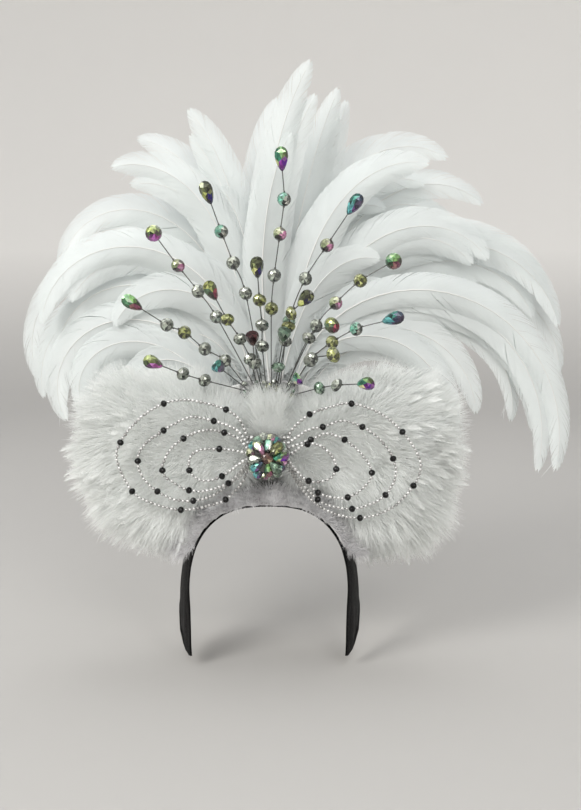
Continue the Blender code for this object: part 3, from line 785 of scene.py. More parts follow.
@dataclass
class Plume:
    """One coque plume: a quill, a tapering rib, barbs that lie like slats, splits in the blade and a downy foot."""

    route: PlumeRoute
    rng: np.random.Generator
    roll_start: float = 0.0
    roll_end: float = 0.0
    downy: bool = True
    barb_pitch: float = 1.02 * MM
    barb_cover: float = 0.92
    barb_roots: tuple = (0.065, 0.985)
    barb_slope: tuple = (22.0, 15.0)
    fray_from: float = 0.6
    foot_strands: int = 150
    loose_barbs: int = 4
    rib_points: int = 26
    camber: float = 0.20
    fold: float = 2.3 * MM
    rib_radius: float = 0.95 * MM
    seat_depth: float = 3.3 * MM
    profile: tuple = ((.0, .0), (.05, .12), (.12, .36), (.22, .68), (.36, .93), (.54, 1.0), (.74, .90), (.88, .68),
                      (.94, .50), (.975, .32), (1.0, .05))

    def __post_init__(self) -> None:
        """Draw this plume's own folds."""
        self.waves = self.rng.uniform(3.0, 8.0)
        self.phase = self.rng.uniform(0.0, 6.28)
        self.lag = self.rng.uniform(1.2, 2.4)

    def place(self, share: np.ndarray, reach: np.ndarray, lift: np.ndarray) -> np.ndarray:
        """Give places on the blade.

        Args:
            share: Share of the way along the plume.
            reach: Signed distance from the rib, in metres.
            lift: Distance ahead of the blade.

        Returns:
            The places.
        """
        line, heading = self.route.line()
        at = np.linspace(0.0, 1.0, len(line))
        share = np.clip(share, 0.0, 1.0)
        x = np.interp(share, at, line[:, 0])
        z = np.interp(share, at, line[:, 1])
        turn = np.interp(share, at, heading)
        roll = np.radians(self.roll_start + (self.roll_end - self.roll_start) * share ** 1.4)
        across = x + np.cos(turn) * reach * np.cos(roll)
        up = z - np.sin(turn) * reach * np.cos(roll)
        half = self.route.width / 2
        bow = self.camber * half * (np.abs(reach) / half) ** 1.8
        ripple = self.fold * np.sin(share * self.waves + self.phase + self.lag * reach / half) * (
            np.abs(reach) / half) ** 0.8
        y = self.route.depth(across, up) + bow - np.sin(roll) * reach - lift + ripple
        return np.stack([across, y, up], axis=-1)

    def barbs(self, side: float) -> tuple[np.ndarray, np.ndarray]:
        """Make the barbs of one side of the blade.

        Args:
            side: -1 for the left side, 1 for the right.

        Returns:
            Both edges of each barb, and each barb's tone.
        """
        rng, length = self.rng, self.route.length
        number = int(self.barb_cover * length / self.barb_pitch)
        root = np.minimum(np.linspace(*self.barb_roots, number) + rng.normal(0.0, 0.0006, number), 0.99)
        shares, widths = zip(*self.profile)
        slope = np.tan(np.radians(self.barb_slope[0] + self.barb_slope[1] * (1.0 - root)))
        low, high = root.copy(), np.ones(number)
        for _halving in range(16):
            tip = (low + high) / 2
            reach = np.interp(tip, shares, widths) * self.route.width / 2
            past = (tip - root) * slope * length > reach
            low, high = np.where(past, low, tip), np.where(past, tip, high)
        fray = np.clip((root - self.fray_from) / 0.35, 0.0, 1.0) ** 1.5
        tip = np.minimum(tip + fray * rng.normal(0.0, 0.0015, number), 1.0)
        ragged = 1.0 - (0.045 + 0.06 * fray) * rng.random(number) ** 2 - 0.12 * (rng.random(number) < 0.015)
        for _split in range(rng.integers(1, 4)):
            at, window = rng.uniform(0.3, 0.9), rng.uniform(0.04, 0.09)
            near = np.clip(1.0 - (at - root) / window, 0.0, 1.0) * (root < at)
            tip -= near * rng.uniform(0.005, 0.015)
            ragged -= 0.03 * near
        step = np.array([0.0, 0.36, 0.72, 1.0])
        share = root[:, None] + (tip - root)[:, None] * step ** 1.25
        reach = reach[:, None] * ragged[:, None] * (1.0 - (1.0 - step) ** 1.12)
        half = self.barb_pitch / length * np.array([0.74, 0.78, 0.78, 0.5])
        flutter = np.cumsum(rng.normal(0.0, 0.10 * MM, number))[:, None] * step ** 2 * 0.35
        edges = [self.place(share + edge * half, side * reach, flutter + edge * 0.09 * MM) for edge in (-1.0, 1.0)]
        pairs = np.stack(edges, axis=2)
        streak = 0.5 + 0.5 * np.sin(np.cumsum(rng.normal(0.0, 0.35, number)))
        tone = 0.80 + 0.14 * streak + 0.06 * rng.random(number)
        # Painted shade: barbs near the foot of the plume are darkened where it goes into the down.
        root_shade = np.clip(0.70 + root * 2.0, 0.0, 1.0)
        return pairs, tone * root_shade

    def foot_down(self) -> tuple[np.ndarray, np.ndarray]:
        """Make the soft down at the foot of the blade."""
        rng, number = self.rng, self.foot_strands
        share = rng.uniform(0.0, 0.16, number)
        side = rng.choice((-1.0, 1.0), number)
        start = self.place(share, np.zeros(number), np.zeros(number))
        end = self.place(share + rng.uniform(0.01, 0.07, number), side * rng.uniform(9.0, 22.0, number) * MM,
                         rng.normal(0.0, 4.0 * MM, number))
        return strands(start, unit(end - start), np.linalg.norm(end - start, axis=1), 0.34 * MM, rng,
                       locks=14, pull=0.35, curl=1.2 * MM, droop=0.05), 0.7 + 0.3 * rng.random(number)

    def wisps(self) -> tuple[np.ndarray, np.ndarray]:
        """Make the few loose barbs that stand off near the tip."""
        rng, number = self.rng, self.loose_barbs
        share = rng.uniform(0.68, 0.97, number)
        side = rng.choice((-1.0, 1.0), number)
        start = self.place(share, np.zeros(number), np.zeros(number))
        way = self.place(share + 0.05, side * 9.0 * MM, np.zeros(number)) - start
        return strands(start, unit(way), rng.uniform(13.0, 22.0, number) * MM, 0.3 * MM, rng, locks=number, pull=0.0,
                       curl=2.4 * MM, droop=0.2), np.full(number, 0.95)

    def add_to(self, joined: JoinedMesh) -> None:
        """Add the whole plume to a piece whose slots are blade and rib."""
        for side in (-1.0, 1.0):
            pairs, tone = self.barbs(side)
            joined.ribbons(pairs, tone)
        share = np.linspace(0.0, 0.96, self.rib_points)
        rib = self.place(share, np.zeros(self.rib_points), np.full(self.rib_points, 0.25 * MM))
        seat = rib[0] * FLAT - self.seat_depth * AHEAD
        path = np.concatenate([[seat], rib])
        radii = self.rib_radius * np.concatenate([[1.3], np.interp(share, (0.0, 0.1, 1.0), (1.3, 1.0, 0.22))])
        joined.tube(path, radii, 5, 0.8, 1)
        if self.downy:
            joined.ribbons(*self.foot_down())
            joined.ribbons(*self.wisps())


@dataclass
class PlumeFan:
    """The fan of coque plumes: one piece for each CAD plume, with a smaller one tucked behind it and one before."""

    centre_z: ClassVar[float] = 52.0 * MM
    finishes: Finishes
    longest: float = 400.0 * MM
    broad: float = 40.0 * MM
    front_radius: float = 36.0 * MM
    back_radius: float = 26.0 * MM
    tuck_behind: tuple = (0.80, 0.97, 1.9 * MM)
    tuck_before: tuple = (0.52, 0.78, -1.4 * MM)
    front_rows: tuple = (
        # root, start, bend, curl, length share, width share, layer
        (-64, -39, -165, 2.0, .5, .8, 0), (-52, -28, -184, 1.5, .655, .9, 1), (-40, -15, -167, 1.45, .655, .95, 2),
        (-29, -6, -170, 1.45, .75, .875, 0), (-18, -9, -102, 2.9, .665, 1.0, 1), (-8, -7, -33, 2.9, .65, .95, 2),
        (3, -4.5, 35, 2.0, .73, .9, 0), (14, 11, 92, 2.8, .665, 1.0, 1), (26, 17.5, 133, 2.1, .6875, 1.0, 2),
        (38, 0, 192, .82, 1.0, .825, 0), (50, 14.5, 172, .97, .855, .8, 1), (62, 22, 169, 1.25, .725, .75, 2))
    back_rows: tuple = (
        (-58, -19, -178, 1.45, .75, .85, 3), (-48, -7, -198, 1.4, .9, .8, 4), (-38, -9, -192, 2.2, .845, .85, 5),
        (-24, -8, -73, 2.9, .71, 1.0, 6), (-10, -4, 25, 2.9, .7, .95, 7), (0, 9, 15, 2.9, .715, .85, 3),
        (9, 12, 4, 1.0, .695, .75, 4), (18, 7, 120, 2.8, .805, 1.05, 5), (27, 16, 121, 2.6, .785, .95, 6),
        (35, 18, 106, 2.9, .655, .9, 7), (43, 15, 153, 1.45, .915, .9, 3), (51, 24, 136, 1.75, .78, .875, 4),
        (60, 27, 152, 1.55, .9, .775, 5))

    def route(self, row: tuple, radius: float) -> PlumeRoute:
        """Turn a row of the tables into a route."""
        root, start, bend, curl, length, width, layer = row
        return PlumeRoute(root, start, bend, curl, length * self.longest, width * self.broad, layer, radius)

    def tucked(self, main: PlumeRoute, rng: np.random.Generator, low: float, high: float,
               behind: float) -> PlumeRoute:
        """Give the route of a smaller plume beside a main one.

        Args:
            main: The main plume's route.
            rng: Random draws.
            low: Least share of the main one's length.
            high: Greatest share of it.
            behind: How far behind the main one it lies.

        Returns:
            The route.
        """
        return PlumeRoute(main.root + rng.uniform(-4.0, 4.0), main.start + rng.uniform(-6.0, 6.0),
                          main.bend * rng.uniform(0.88, 1.04), main.curl, main.length * rng.uniform(low, high),
                          main.width * rng.uniform(0.85, 1.05), main.layer, main.quill_radius, behind)

    def build(self) -> list[bpy.types.Object]:
        """Make every plume piece.

        Returns:
            The pieces.
        """
        pieces = []
        for group, rows, radius in (("front", self.front_rows, self.front_radius),
                                    ("back", self.back_rows, self.back_radius)):
            for number, row in enumerate(rows, 1):
                rng = np.random.default_rng([SEED, len(group), number])
                main = self.route(row, radius)
                droop = abs(main.bend) / 190.0
                joined = JoinedMesh("coque_plume_%s_%d" % (group, number))
                roll = rng.uniform(-9.0, 9.0)
                Plume(main, rng, roll * 0.5, roll + 16.0 * droop * math.copysign(1.0, main.bend)).add_to(joined)
                back = self.tucked(main, rng, *self.tuck_behind)
                Plume(back, rng, -roll * 0.5, roll * 0.6, downy=False).add_to(joined)
                short = self.tucked(main, rng, *self.tuck_before)
                Plume(short, rng, roll * 0.4, -roll * 0.4, downy=False).add_to(joined)
                piece = joined.build([self.finishes.plume, self.finishes.rib])
                pieces.append(hang(piece, "plume_%s_%d" % (group, number)))
        return pieces


# Down and fur

def strands(roots: np.ndarray, ways: np.ndarray, lengths: np.ndarray, half_width: float,
            rng: np.random.Generator, locks: int, pull: float, curl: float, droop: float, steps: int = 4,
            facing: np.ndarray | float = 0.0) -> np.ndarray:
    """Grow fine tapered strands that gather into locks.

    Args:
        roots: Where the strands start.
        ways: Unit direction of each strand.
        lengths: Length of each strand.
        half_width: Half width at the root.
        rng: Random draws.
        locks: Number of locks that the strands gather into.
        pull: How far the tips draw in to their lock, 0 to 1.
        curl: How far a strand waves off its line.
        droop: How far a tip sags, as a share of its length.
        steps: Points along each strand.
        facing: Where the flat of each strand looks, as vectors beside random ones of length one.

    Returns:
        Both edges of each strand, as strand, step, edge, place.
    """
    number = len(roots)
    heads = rng.choice(number, min(locks, number), replace=False)
    near = np.empty(number, int)
    for start in range(0, number, 4000):
        part = roots[start:start + 4000]
        near[start:start + 4000] = ((part[:, None] - roots[heads][None]) ** 2).sum(axis=2).argmin(axis=1)
    lead = heads[near]
    step = np.linspace(0.0, 1.0, steps)[None, :, None]
    reach = lengths[:, None, None]
    own = roots[:, None] + ways[:, None] * reach * step
    led = roots[lead][:, None] + ways[lead][:, None] * reach * step
    path = own + (led - own) * pull * step ** 1.4
    wave = unit(np.cross(ways, rng.normal(size=(number, 3))))
    phase = rng.uniform(0.0, 6.28, number)[:, None, None]
    path = path + wave[:, None] * curl * np.sin(phase + step * rng.uniform(2.0, 6.0, number)[:, None, None]) * step
    path[..., 2] -= droop * (step ** 2 * reach)[..., 0]
    flat = unit(np.cross(ways, unit(rng.normal(size=(number, 3))) + facing))
    half = half_width * (1.0 - 0.88 * step ** 2)
    return np.stack([path - flat[:, None] * half, path + flat[:, None] * half], axis=2)


def lift_below(points: np.ndarray, height: float, keep: float) -> np.ndarray:
    """Draw what hangs below a height up toward it.

    Args:
        points: The points, one a row.
        height: The height.
        keep: Share of the hanging length that stays.

    Returns:
        The moved points.
    """
    moved = points.copy()
    moved[:, 2] = np.where(points[:, 2] < height, height + (points[:, 2] - height) * keep, points[:, 2])
    return moved


@dataclass
class Fleece:
    """Down or fur combed over a soft core that follows a CAD solid."""

    name: str
    node: str
    slot: str
    material: bpy.types.Material
    head: CrownForm
    number: int
    shortest: float
    longest: float
    half_width: float
    locks: int
    pull: float
    curl: float
    droop: float
    voxel: float
    draw_in: float
    clear: float
    seed: int
    tones: tuple[float, float] = (0.82, 1.0)
    tufts: int = 40
    tuft_depth: float = 22.0 * MM
    fan: float = 0.45
    steps: int = 4
    front: float = -52.0 * MM
    stray: float = 0.14
    facing: float = 2.2
    feathers: int = 0
    feather_barbs: int = 22
    feather_length: tuple = (14.0, 27.0)
    feather_half: tuple = (3.2, 5.8)

    def anchor(self) -> np.ndarray:
        """Give the place that the fleece is combed away from."""
        low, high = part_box(self.node)
        return np.array((low + high) / 2)

    def away(self, places: np.ndarray) -> np.ndarray:
        """Give the direction away from the anchor, seen from the front."""
        return unit((places - self.anchor()) * FLAT)

    def comb(self, places: np.ndarray, normals: np.ndarray) -> np.ndarray:
        """Give the direction in which the fleece is combed at each place.

        Args:
            places: Places on the core.
            normals: The core's outward directions there.

        Returns:
            Directions, not yet of length one.
        """
        return self.away(places) + 0.5 * normals

    def weight(self, places: np.ndarray) -> np.ndarray:
        """Give how thickly each place is covered."""
        return np.ones(len(places))

    def settle(self, points: np.ndarray) -> np.ndarray:
        """Give the core its last shape."""
        return points

    def length(self, roots: np.ndarray) -> np.ndarray:
        """Give the share of the usual length that strands have at each root."""
        return np.ones(len(roots))

    def core(self) -> tuple[np.ndarray, np.ndarray]:
        """Make the soft core from a copy of the CAD solid.

        Returns:
            Its points and its triangles.
        """
        builder = bmesh.new()
        builder.from_mesh(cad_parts[self.node].data)
        bmesh.ops.remove_doubles(builder, verts=builder.verts, dist=1e-5)
        thing = link(self.name + "_core", mesh_of(self.name + "_core", builder))
        remesh = thing.modifiers.new("even", "REMESH")
        remesh.mode, remesh.voxel_size = "VOXEL", self.voxel
        relax = thing.modifiers.new("relax", "SMOOTH")
        relax.factor, relax.iterations = 0.6, 8
        split = thing.modifiers.new("split", "TRIANGULATE")
        split.min_vertices = 4
        evaluated = thing.evaluated_get(bpy.context.evaluated_depsgraph_get())
        soft = evaluated.to_mesh()
        points = np.array([v.co for v in soft.vertices])
        faces = np.array([list(f.vertices) for f in soft.polygons])
        evaluated.to_mesh_clear()
        bpy.data.objects.remove(thing, do_unlink=True)
        anchor = self.anchor()
        points = self.settle(anchor + (points - anchor) * np.array((self.draw_in, 1.0, self.draw_in)))
        return self.head.push_out(points, self.clear + 2.0 * MM), faces

    def build(self) -> bpy.types.Object:
        """Make the fleece.

        Returns:
            The piece.
        """
        rng = np.random.default_rng([SEED, self.seed])
        points, faces = self.core()
        a, b, c = points[faces].transpose(1, 0, 2)
        cross = np.cross(b - a, c - a)
        middle = (a + b + c) / 3
        share = np.linalg.norm(cross, axis=1) * self.weight(middle)
        pick = rng.choice(len(faces), self.number, p=share / share.sum())
        first, second = np.sqrt(rng.random(self.number))[:, None], rng.random(self.number)[:, None]
        roots = (1 - first) * a[pick] + first * (1 - second) * b[pick] + first * second * c[pick]
        normals = unit(cross[pick])
        heads = rng.choice(self.number, self.tufts, replace=False)
        near = ((roots[:, None] - roots[heads][None]) ** 2).sum(axis=2).argmin(axis=1)
        spread = unit(roots - roots[heads][near] + normals[heads][near] * self.tuft_depth)
        combed = unit(self.comb(roots, normals))
        ways = unit(combed * (1.0 - self.fan) + spread * self.fan + rng.normal(0.0, self.stray, (self.number, 3)))
        lengths = rng.uniform(self.shortest, self.longest, self.number) * rng.uniform(0.8, 1.2, self.tufts)[near]
        pairs = strands(roots - normals * 1.0 * MM, ways, lengths * self.length(roots), self.half_width, rng,
                        self.locks, self.pull, self.curl, self.droop, self.steps, self.facing * normals)
        pairs = self.head.push_out(pairs, self.clear)
        pairs[..., 1] = np.maximum(pairs[..., 1], self.front + rng.uniform(0.0, 4.0, self.number)[:, None, None] * MM)
        joined = JoinedMesh(self.name)
        joined.add(points, faces, 1.0)
        low, high = self.tones
        base = low + (high - low) * rng.random(self.number) ** 0.6
        # Painted shade: each strand is darker at its root, deep in the fleece, and full tone at its tip.
        root_shade = np.linspace(0.9, 1.0, self.steps)
        joined.ribbons(pairs, base[:, None] * root_shade[None, :])
        if self.feathers:
            joined.ribbons(*self.small_feathers(rng, roots, normals, unit(combed + 0.15 * spread)))
        return hang(joined.build([self.material]), self.node)

    def small_feathers(self, rng: np.random.Generator, roots: np.ndarray, normals: np.ndarray,
                       ways: np.ndarray) -> tuple[np.ndarray, np.ndarray]:
        """Lay small soft feathers over the strands, most of them near the rim.

        Args:
            rng: Random draws.
            roots: Places on the core.
            normals: The core's outward directions there.
            ways: The combed directions there.

        Returns:
            Both edges of each barb, and each barb's tone.
        """
        out = np.linalg.norm((roots - self.anchor()) * FLAT, axis=1)
        share = np.clip(out / np.percentile(out, 97) - 0.45, 0.0, 1.0) ** 1.5 * (roots[:, 1] < -6.0 * MM)
        pick = rng.choice(len(roots), self.feathers, replace=False, p=share / share.sum())
        root, way = roots[pick], unit(ways[pick] + rng.normal(0.0, 0.1, (self.feathers, 3)))
        normal = unit(normals[pick] - way * (normals[pick] * way).sum(axis=1, keepdims=True))
        side = np.cross(way, normal)
        length = rng.uniform(*self.feather_length, self.feathers) * MM * self.length(root)
        broad = rng.uniform(*self.feather_half, self.feathers) * MM
        at = np.linspace(0.1, 1.0, self.feather_barbs)
        rib = root[:, None] + way[:, None] * (length[:, None] * at)[..., None] + normal[:, None] * (
            (1.6 + 2.4 * np.sin(2.6 * at)) * MM)[None, :, None]
        rib[..., 2] -= 0.18 * length[:, None] * at ** 2
        reach = broad[:, None] * np.sin(np.pi * np.clip(at, 0.0, 0.97) ** 0.8) ** 0.6
        reach = reach * rng.uniform(0.75, 1.0, reach.shape)
        half = (length / self.feather_barbs * 0.62)[:, None, None, None] * way[:, None, None]
        parts = []
        for hand in (-1.0, 1.0):
            lean = unit(way * 0.8 + side * hand * 0.6)[:, None]
            step = np.array([0.0, 0.5, 1.0])[None, None, :, None]
            path = rib[:, :, None] + (lean * reach[..., None])[:, :, None] * step + normal[:, None, None] * (
                rng.normal(0.0, 0.5 * MM, reach.shape)[:, :, None, None] * step)
            thin = 1.0 - 0.6 * step
            parts.append(np.stack([path - half * thin, path + half * thin], axis=3).reshape(-1, 3, 2, 3))
        pairs = self.head.push_out(np.concatenate(parts), self.clear)
        pairs[..., 1] = np.maximum(pairs[..., 1], self.front - 1.0 * MM)
        # Painted shade: the small feathers take darker tones than the down under them.
        return pairs, rng.uniform(0.5, 0.85, len(pairs))


@dataclass
class SideFluff(Fleece):
    """The deep fluff on one side of the brooch, combed out from the middle and hanging at the foot."""

    side: float = 1.0
    left_foot: tuple = (0.22, -36.0 * MM)
    right_foot: tuple = (0.06, -46.0 * MM)
    foot_share: float = 0.3

    def anchor(self) -> np.ndarray:
        """Give the middle that the fluff fans out from."""
        return np.array((self.side * 24.0 * MM, -18.0 * MM, 26.5 * MM))

    def comb(self, places: np.ndarray, normals: np.ndarray) -> np.ndarray:
        """Comb outward, a little forward, and down toward the foot."""
        low = np.clip((20.0 * MM - places[:, 2:3]) / 0.08, 0.0, 1.0)
        return self.away(places) + 0.55 * normals + low * np.array((0.0, 0.0, -0.3))

    def settle(self, points: np.ndarray) -> np.ndarray:
        """Draw the lower outer corner in, more on the left side than on the right."""
        inward, foot = self.left_foot if self.side < 0 else self.right_foot
        low = np.clip(-points[:, 2] / 0.06, 0.0, 1.0)
        moved = points * np.stack([1.0 - inward * low, np.ones(len(low)), np.ones(len(low))], axis=1)
        return lift_below(moved, foot, self.foot_share)

    def length(self, roots: np.ndarray) -> np.ndarray:
        """Shorten the down along the foot, over the loops and next to the band."""
        low = np.clip((-roots[:, 2] - 0.02) / 0.05, 0.0, 1.0)
        middle = np.hypot((np.abs(roots[:, 0]) - 70.0 * MM) / 0.09, (roots[:, 2] - 30.0 * MM) / 0.07)
        return (1.0 - 0.3 * low) * np.clip(0.45 + 0.55 * middle, 0.45, 1.0)

    def weight(self, places: np.ndarray) -> np.ndarray:
        """Cover the back only where the panel leaves it bare."""
        hidden = (places[:, 1] > -5.0 * MM) & (np.abs(places[:, 0]) < 86.0 * MM) & (places[:, 2] < 80.0 * MM)
        return np.where(hidden, 0.02, np.where(places[:, 1] > -5.0 * MM, 0.55, 1.0))


@dataclass
class BrowFur(Fleece):
    """The short edging fur along the front of the band."""

    def anchor(self) -> np.ndarray:
        """Give a place well below the crown, midway between the band's ends."""
        return np.array((0.0, -30.0 * MM, -90.0 * MM))

    def comb(self, places: np.ndarray, normals: np.ndarray) -> np.ndarray:
        """Comb forward over the brow and outward."""
        return 0.55 * self.away(places) + 0.5 * normals + 0.75 * AHEAD

    def settle(self, points: np.ndarray) -> np.ndarray:
        """Let the edging end above the band's black sides."""
        return lift_below(points, -44.0 * MM, 0.25)


@dataclass
class CrownFluff(Fleece):
    """The tuft above the brooch, combed up and out like the fluff beside it."""

    def anchor(self) -> np.ndarray:
        """Give a place below the tuft, so that it is combed upward."""
        return np.array((0.0, -16.0 * MM, 18.0 * MM))

    def comb(self, places: np.ndarray, normals: np.ndarray) -> np.ndarray:
        """Comb up, outward and a little forward."""
        return self.away(places) + 0.35 * normals + 0.1 * AHEAD


# Beads, stones and metal

class Glow(Enum):
    """What a coated stone throws back, clockwise from its top, as screen colours: the stone's own tint with painted
    reflections, one colour for each facet direction.
    """

    VIOLET = ((.62, .80, .55), (.40, .46, .30), (.66, .42, .70), (.42, .12, .62), (.55, .22, .62), (.90, .92, .66),
              (.30, .66, .52), (.24, .52, .42))
    SMOKE = ((.36, .38, .28), (.30, .31, .25), (.50, .52, .36), (.18, .12, .46), (.24, .22, .24), (.84, .88, .52),
             (.40, .42, .34), (.52, .56, .38))
    ROSE = ((.62, .66, .40), (.40, .42, .28), (.70, .34, .40), (.56, .24, .34), (.30, .26, .24), (.36, .40, .30),
            (.44, .56, .44), (.78, .80, .50))
    LIME = ((.66, .90, .56), (.46, .60, .36), (.34, .34, .28), (.60, .34, .44), (.66, .46, .46), (.28, .34, .26),
            (.40, .62, .46), (.72, .92, .70))
    TEAL = ((.36, .66, .60), (.30, .36, .44), (.34, .30, .40), (.22, .20, .30), (.44, .30, .52), (.40, .72, .74),
            (.50, .84, .84), (.24, .44, .42))
    PINK = ((.84, .90, .62), (.60, .66, .46), (.42, .38, .36), (.80, .40, .72), (.86, .50, .84), (.46, .26, .46),
            (.36, .42, .30), (.78, .84, .52))
    CLEAR = ((.80, .82, .76), (.56, .58, .54), (.40, .42, .40), (.62, .64, .60), (.34, .35, .34), (.74, .78, .72),
             (.60, .62, .58), (.86, .88, .82))
    MINT = ((.62, .86, .74), (.56, .58, .54), (.46, .48, .46), (.78, .78, .74), (.22, .23, .22), (.60, .80, .72),
            (.50, .78, .68), (.66, .88, .78))
    OLIVE = ((.58, .60, .36), (.44, .46, .30), (.66, .68, .42), (.36, .37, .28), (.74, .76, .50), (.30, .30, .24),
             (.50, .52, .34), (.86, .88, .62))
    BLUSH = ((.82, .84, .68), (.58, .56, .52), (.78, .52, .66), (.84, .60, .72), (.40, .36, .38), (.22, .22, .20),
             (.60, .66, .50), (.88, .92, .74))
    GARNET = ((.34, .16, .18), (.42, .20, .22), (.24, .12, .14), (.30, .22, .20), (.52, .44, .42), (.36, .30, .30),
              (.40, .34, .34), (.26, .14, .16))
    SAGE = ((.56, .68, .58), (.42, .54, .46), (.66, .76, .68), (.34, .42, .36), (.50, .60, .50), (.74, .82, .74),
            (.46, .56, .48), (.60, .72, .62))
    BROWN = ((.46, .34, .30), (.40, .27, .24), (.56, .44, .38), (.78, .68, .56), (.50, .36, .30), (.36, .24, .22),
             (.60, .50, .44), (.30, .22, .20))


@dataclass(frozen=True)
class StoneCut:
    """A cut stone with a table, crown facets, a girdle and a pointed back, 1 across its half width."""

    drop: bool = False
    half_length: float = 1.0
    height: float = 0.5

    def outline(self, count: int, turn: float, share: float) -> list[tuple[float, float]]:
        """Give points of the outline, (along the wire, across it), with a drop's point toward the wire.

        Args:
            count: Number of points.
            turn: Share of a step that the first point is turned by.
            share: Size beside the girdle.

        Returns:
            The points.
        """
        points = []
        for i in range(count):
            angle = 2 * math.pi * (i + turn) / count
            across = math.sin(angle)
            if self.drop:
                across *= 0.55 + 0.62 * (0.5 + 0.5 * math.cos(angle))
            points.append((self.half_length * math.cos(angle) * share, across * share))
        return points

    def pattern(self) -> Pattern:
        """Make the stone as the hull of its facet corners, with the table split into wedges."""
        rings = ((8, 0.5, 0.56, 0.62), (8, 0.0, 0.84, 0.40), (16, 0.5, 1.0, 0.06), (16, 0.5, 1.0, -0.06),
                 (8, 0.0, 0.55, -0.30))
        builder = bmesh.new()
        for count, turn, share, level in rings:
            for u, v in self.outline(count, turn, share):
                builder.verts.new((u, v, level * self.height * 2))
        builder.verts.new((0.0, 0.0, -0.42 * self.height * 2))
        bmesh.ops.convex_hull(builder, input=builder.verts)
        loose = [v for v in builder.verts if not v.link_faces]
        bmesh.ops.delete(builder, geom=loose, context="VERTS")
        bmesh.ops.dissolve_limit(builder, angle_limit=math.radians(1.0), verts=builder.verts, edges=builder.edges)
        tables = [f for f in builder.faces if f.calc_center_median().z > 0.6 * self.height * 2]
        bmesh.ops.poke(builder, faces=tables, center_mode="MEAN")
        return Pattern.of(builder)


class StoneBox:
    """Cuts the stones that the headdress needs and sets them into pieces."""

    def __init__(self) -> None:
        """Cut one of each pattern."""
        self.round = StoneCut().pattern()
        self.drop = StoneCut(drop=True, half_length=1.62, height=0.42).pattern()

    def set_stone(self, joined: JoinedMesh, rng: np.random.Generator, glow: Glow, place: np.ndarray,
                  along: np.ndarray, face: np.ndarray, radius: float, drop: bool = False, material: int = 0,
                  thick: float = 1.0) -> None:
        """Set one stone.

        Args:
            joined: The piece that gets the stone.
            rng: Random draws.
            glow: Its tint with painted facet reflections.
            place: Its middle.
            along: Direction of the wire, away from the plate.
            face: Direction that its table looks.
            radius: Half its width.
            drop: Whether it is a drop.
            material: Number of the material slot.
            thick: Height beside the usual one.
        """
        pattern = self.drop if drop else self.round
        along = unit(along)
        face = unit(face - along * np.dot(face, along))
        side = np.cross(face, along)
        middles = pattern.middles()
        directions = np.stack([along, side, face])
        shown = middles @ directions
        # Painted reflection: each facet takes its colour from the direction it faces, clockwise from the top.
        angle = np.arctan2(shown[:, 0], shown[:, 2]) / (2 * np.pi) % 1.0
        sector = (angle * 8 + 0.5).astype(int) % 8
        colours = np.array([linear(*c) for c in glow.value])[sector]
        # Painted glints and shade: each facet is brightened or dimmed at random, and the facets near the girdle are
        # painted darker.
        painted_glint = rng.choice((0.45, 0.75, 1.0, 1.3, 1.8), len(middles), p=(0.14, 0.24, 0.34, 0.2, 0.08))
        rim = np.linalg.norm(middles[:, :2] / (pattern.points[:, 0].max(), 1.0), axis=1)
        colours = colours * (painted_glint * np.where(rim > 0.75, 0.62, 1.0))[:, None]
        colours[:, 3] = 1.0
        frames = directions * radius * np.array((1.0, 1.0, thick))[:, None]
        joined.copies(pattern, frames[None], place[None], 1.0, material, False, np.clip(colours, 0, 1)[None])


@dataclass
class Sprig:
    """One bent wire of the spray with its strung stones and the stone on its end."""

    number: int
    row: tuple
    ends: Glow
    beads: tuple[Glow, ...]
    stones: StoneBox
    finishes: Finishes
    plate_front: float = -3.3 * MM
    plate_z: float = 87.0 * MM
    foot_length: float = 3.0 * MM
    gap: float = 0.3 * MM
    wire_radius: float = 0.48 * MM
    stone_radius: float = 5.9 * MM
    end_radius: float = 7.0 * MM
    drop_half: float = 6.2 * MM
    drop_set: float = 6.8 * MM

    def route(self) -> tuple[np.ndarray, list[np.ndarray]]:
        """Give the wire's foot, and its run from the turn through its stones to the tip."""
        seat_x, seat_up, tip_x, tip_forward, tip_z, _end, places = self.row
        foot = np.array((seat_x * MM, self.plate_front - self.gap, self.plate_z + seat_up * MM))
        turn = foot + np.array((0.0, -self.foot_length, 0.0))
        tip = np.array((tip_x, -tip_forward, tip_z)) * 0.1
        aside = unit(np.cross(tip - turn, (0.0, -1.0, 0.0)))
        centres = [turn + (tip - turn) * share + aside * beside * MM for share, beside in places]
        return foot, [turn] + centres[::-1] + [tip]

    def collars(self, joined: JoinedMesh, centre: np.ndarray, way: np.ndarray) -> None:
        """Add the twisted wire collar on each side of a strung stone."""
        for end in (-1.0, 1.0):
            knot = centre + way * end * (self.stone_radius + 0.5 * MM)
            joined.tube(np.array([knot - way * 0.6 * MM, knot + way * 0.6 * MM]), np.full(2, 0.8 * MM), 6, 1.0, 1)

    def build(self) -> bpy.types.Object:
        """Make the sprig.

        Returns:
            The piece.
        """
        rng = np.random.default_rng([SEED, 900, self.number])
        foot, run = self.route()
        joined = JoinedMesh("crystal_sprig_%d" % self.number)
        last = unit(run[-1] - run[-2])
        path = np.concatenate([[foot, foot * 0.4 + run[0] * 0.6], smooth_run(np.array(run), 7),
                               [run[-1] + last * 1.5 * MM]])
        joined.tube(path, np.full(len(path), self.wire_radius), 6, 1.0, 1)
        face = np.array((0.0, -1.0, 0.1))
        for before, centre, after, glow in zip(run[-3::-1], run[-2::-1], run[:0:-1], self.beads):
            way = unit(after - before)
            self.stones.set_stone(joined, rng, glow, centre, way, face + rng.normal(0.0, 0.16, 3), self.stone_radius)
            self.collars(joined, centre, way)
        drop = self.row[5] == "drop"
        radius, place = (self.drop_half, run[-1] + last * self.drop_set) if drop else (self.end_radius, run[-1])
        self.stones.set_stone(joined, rng, self.ends, place, last, face + rng.normal(0.0, 0.1, 3), radius, drop)
        piece = joined.build([self.finishes.gem, self.finishes.wire])
        return hang(piece, "sprig_%d" % self.number)


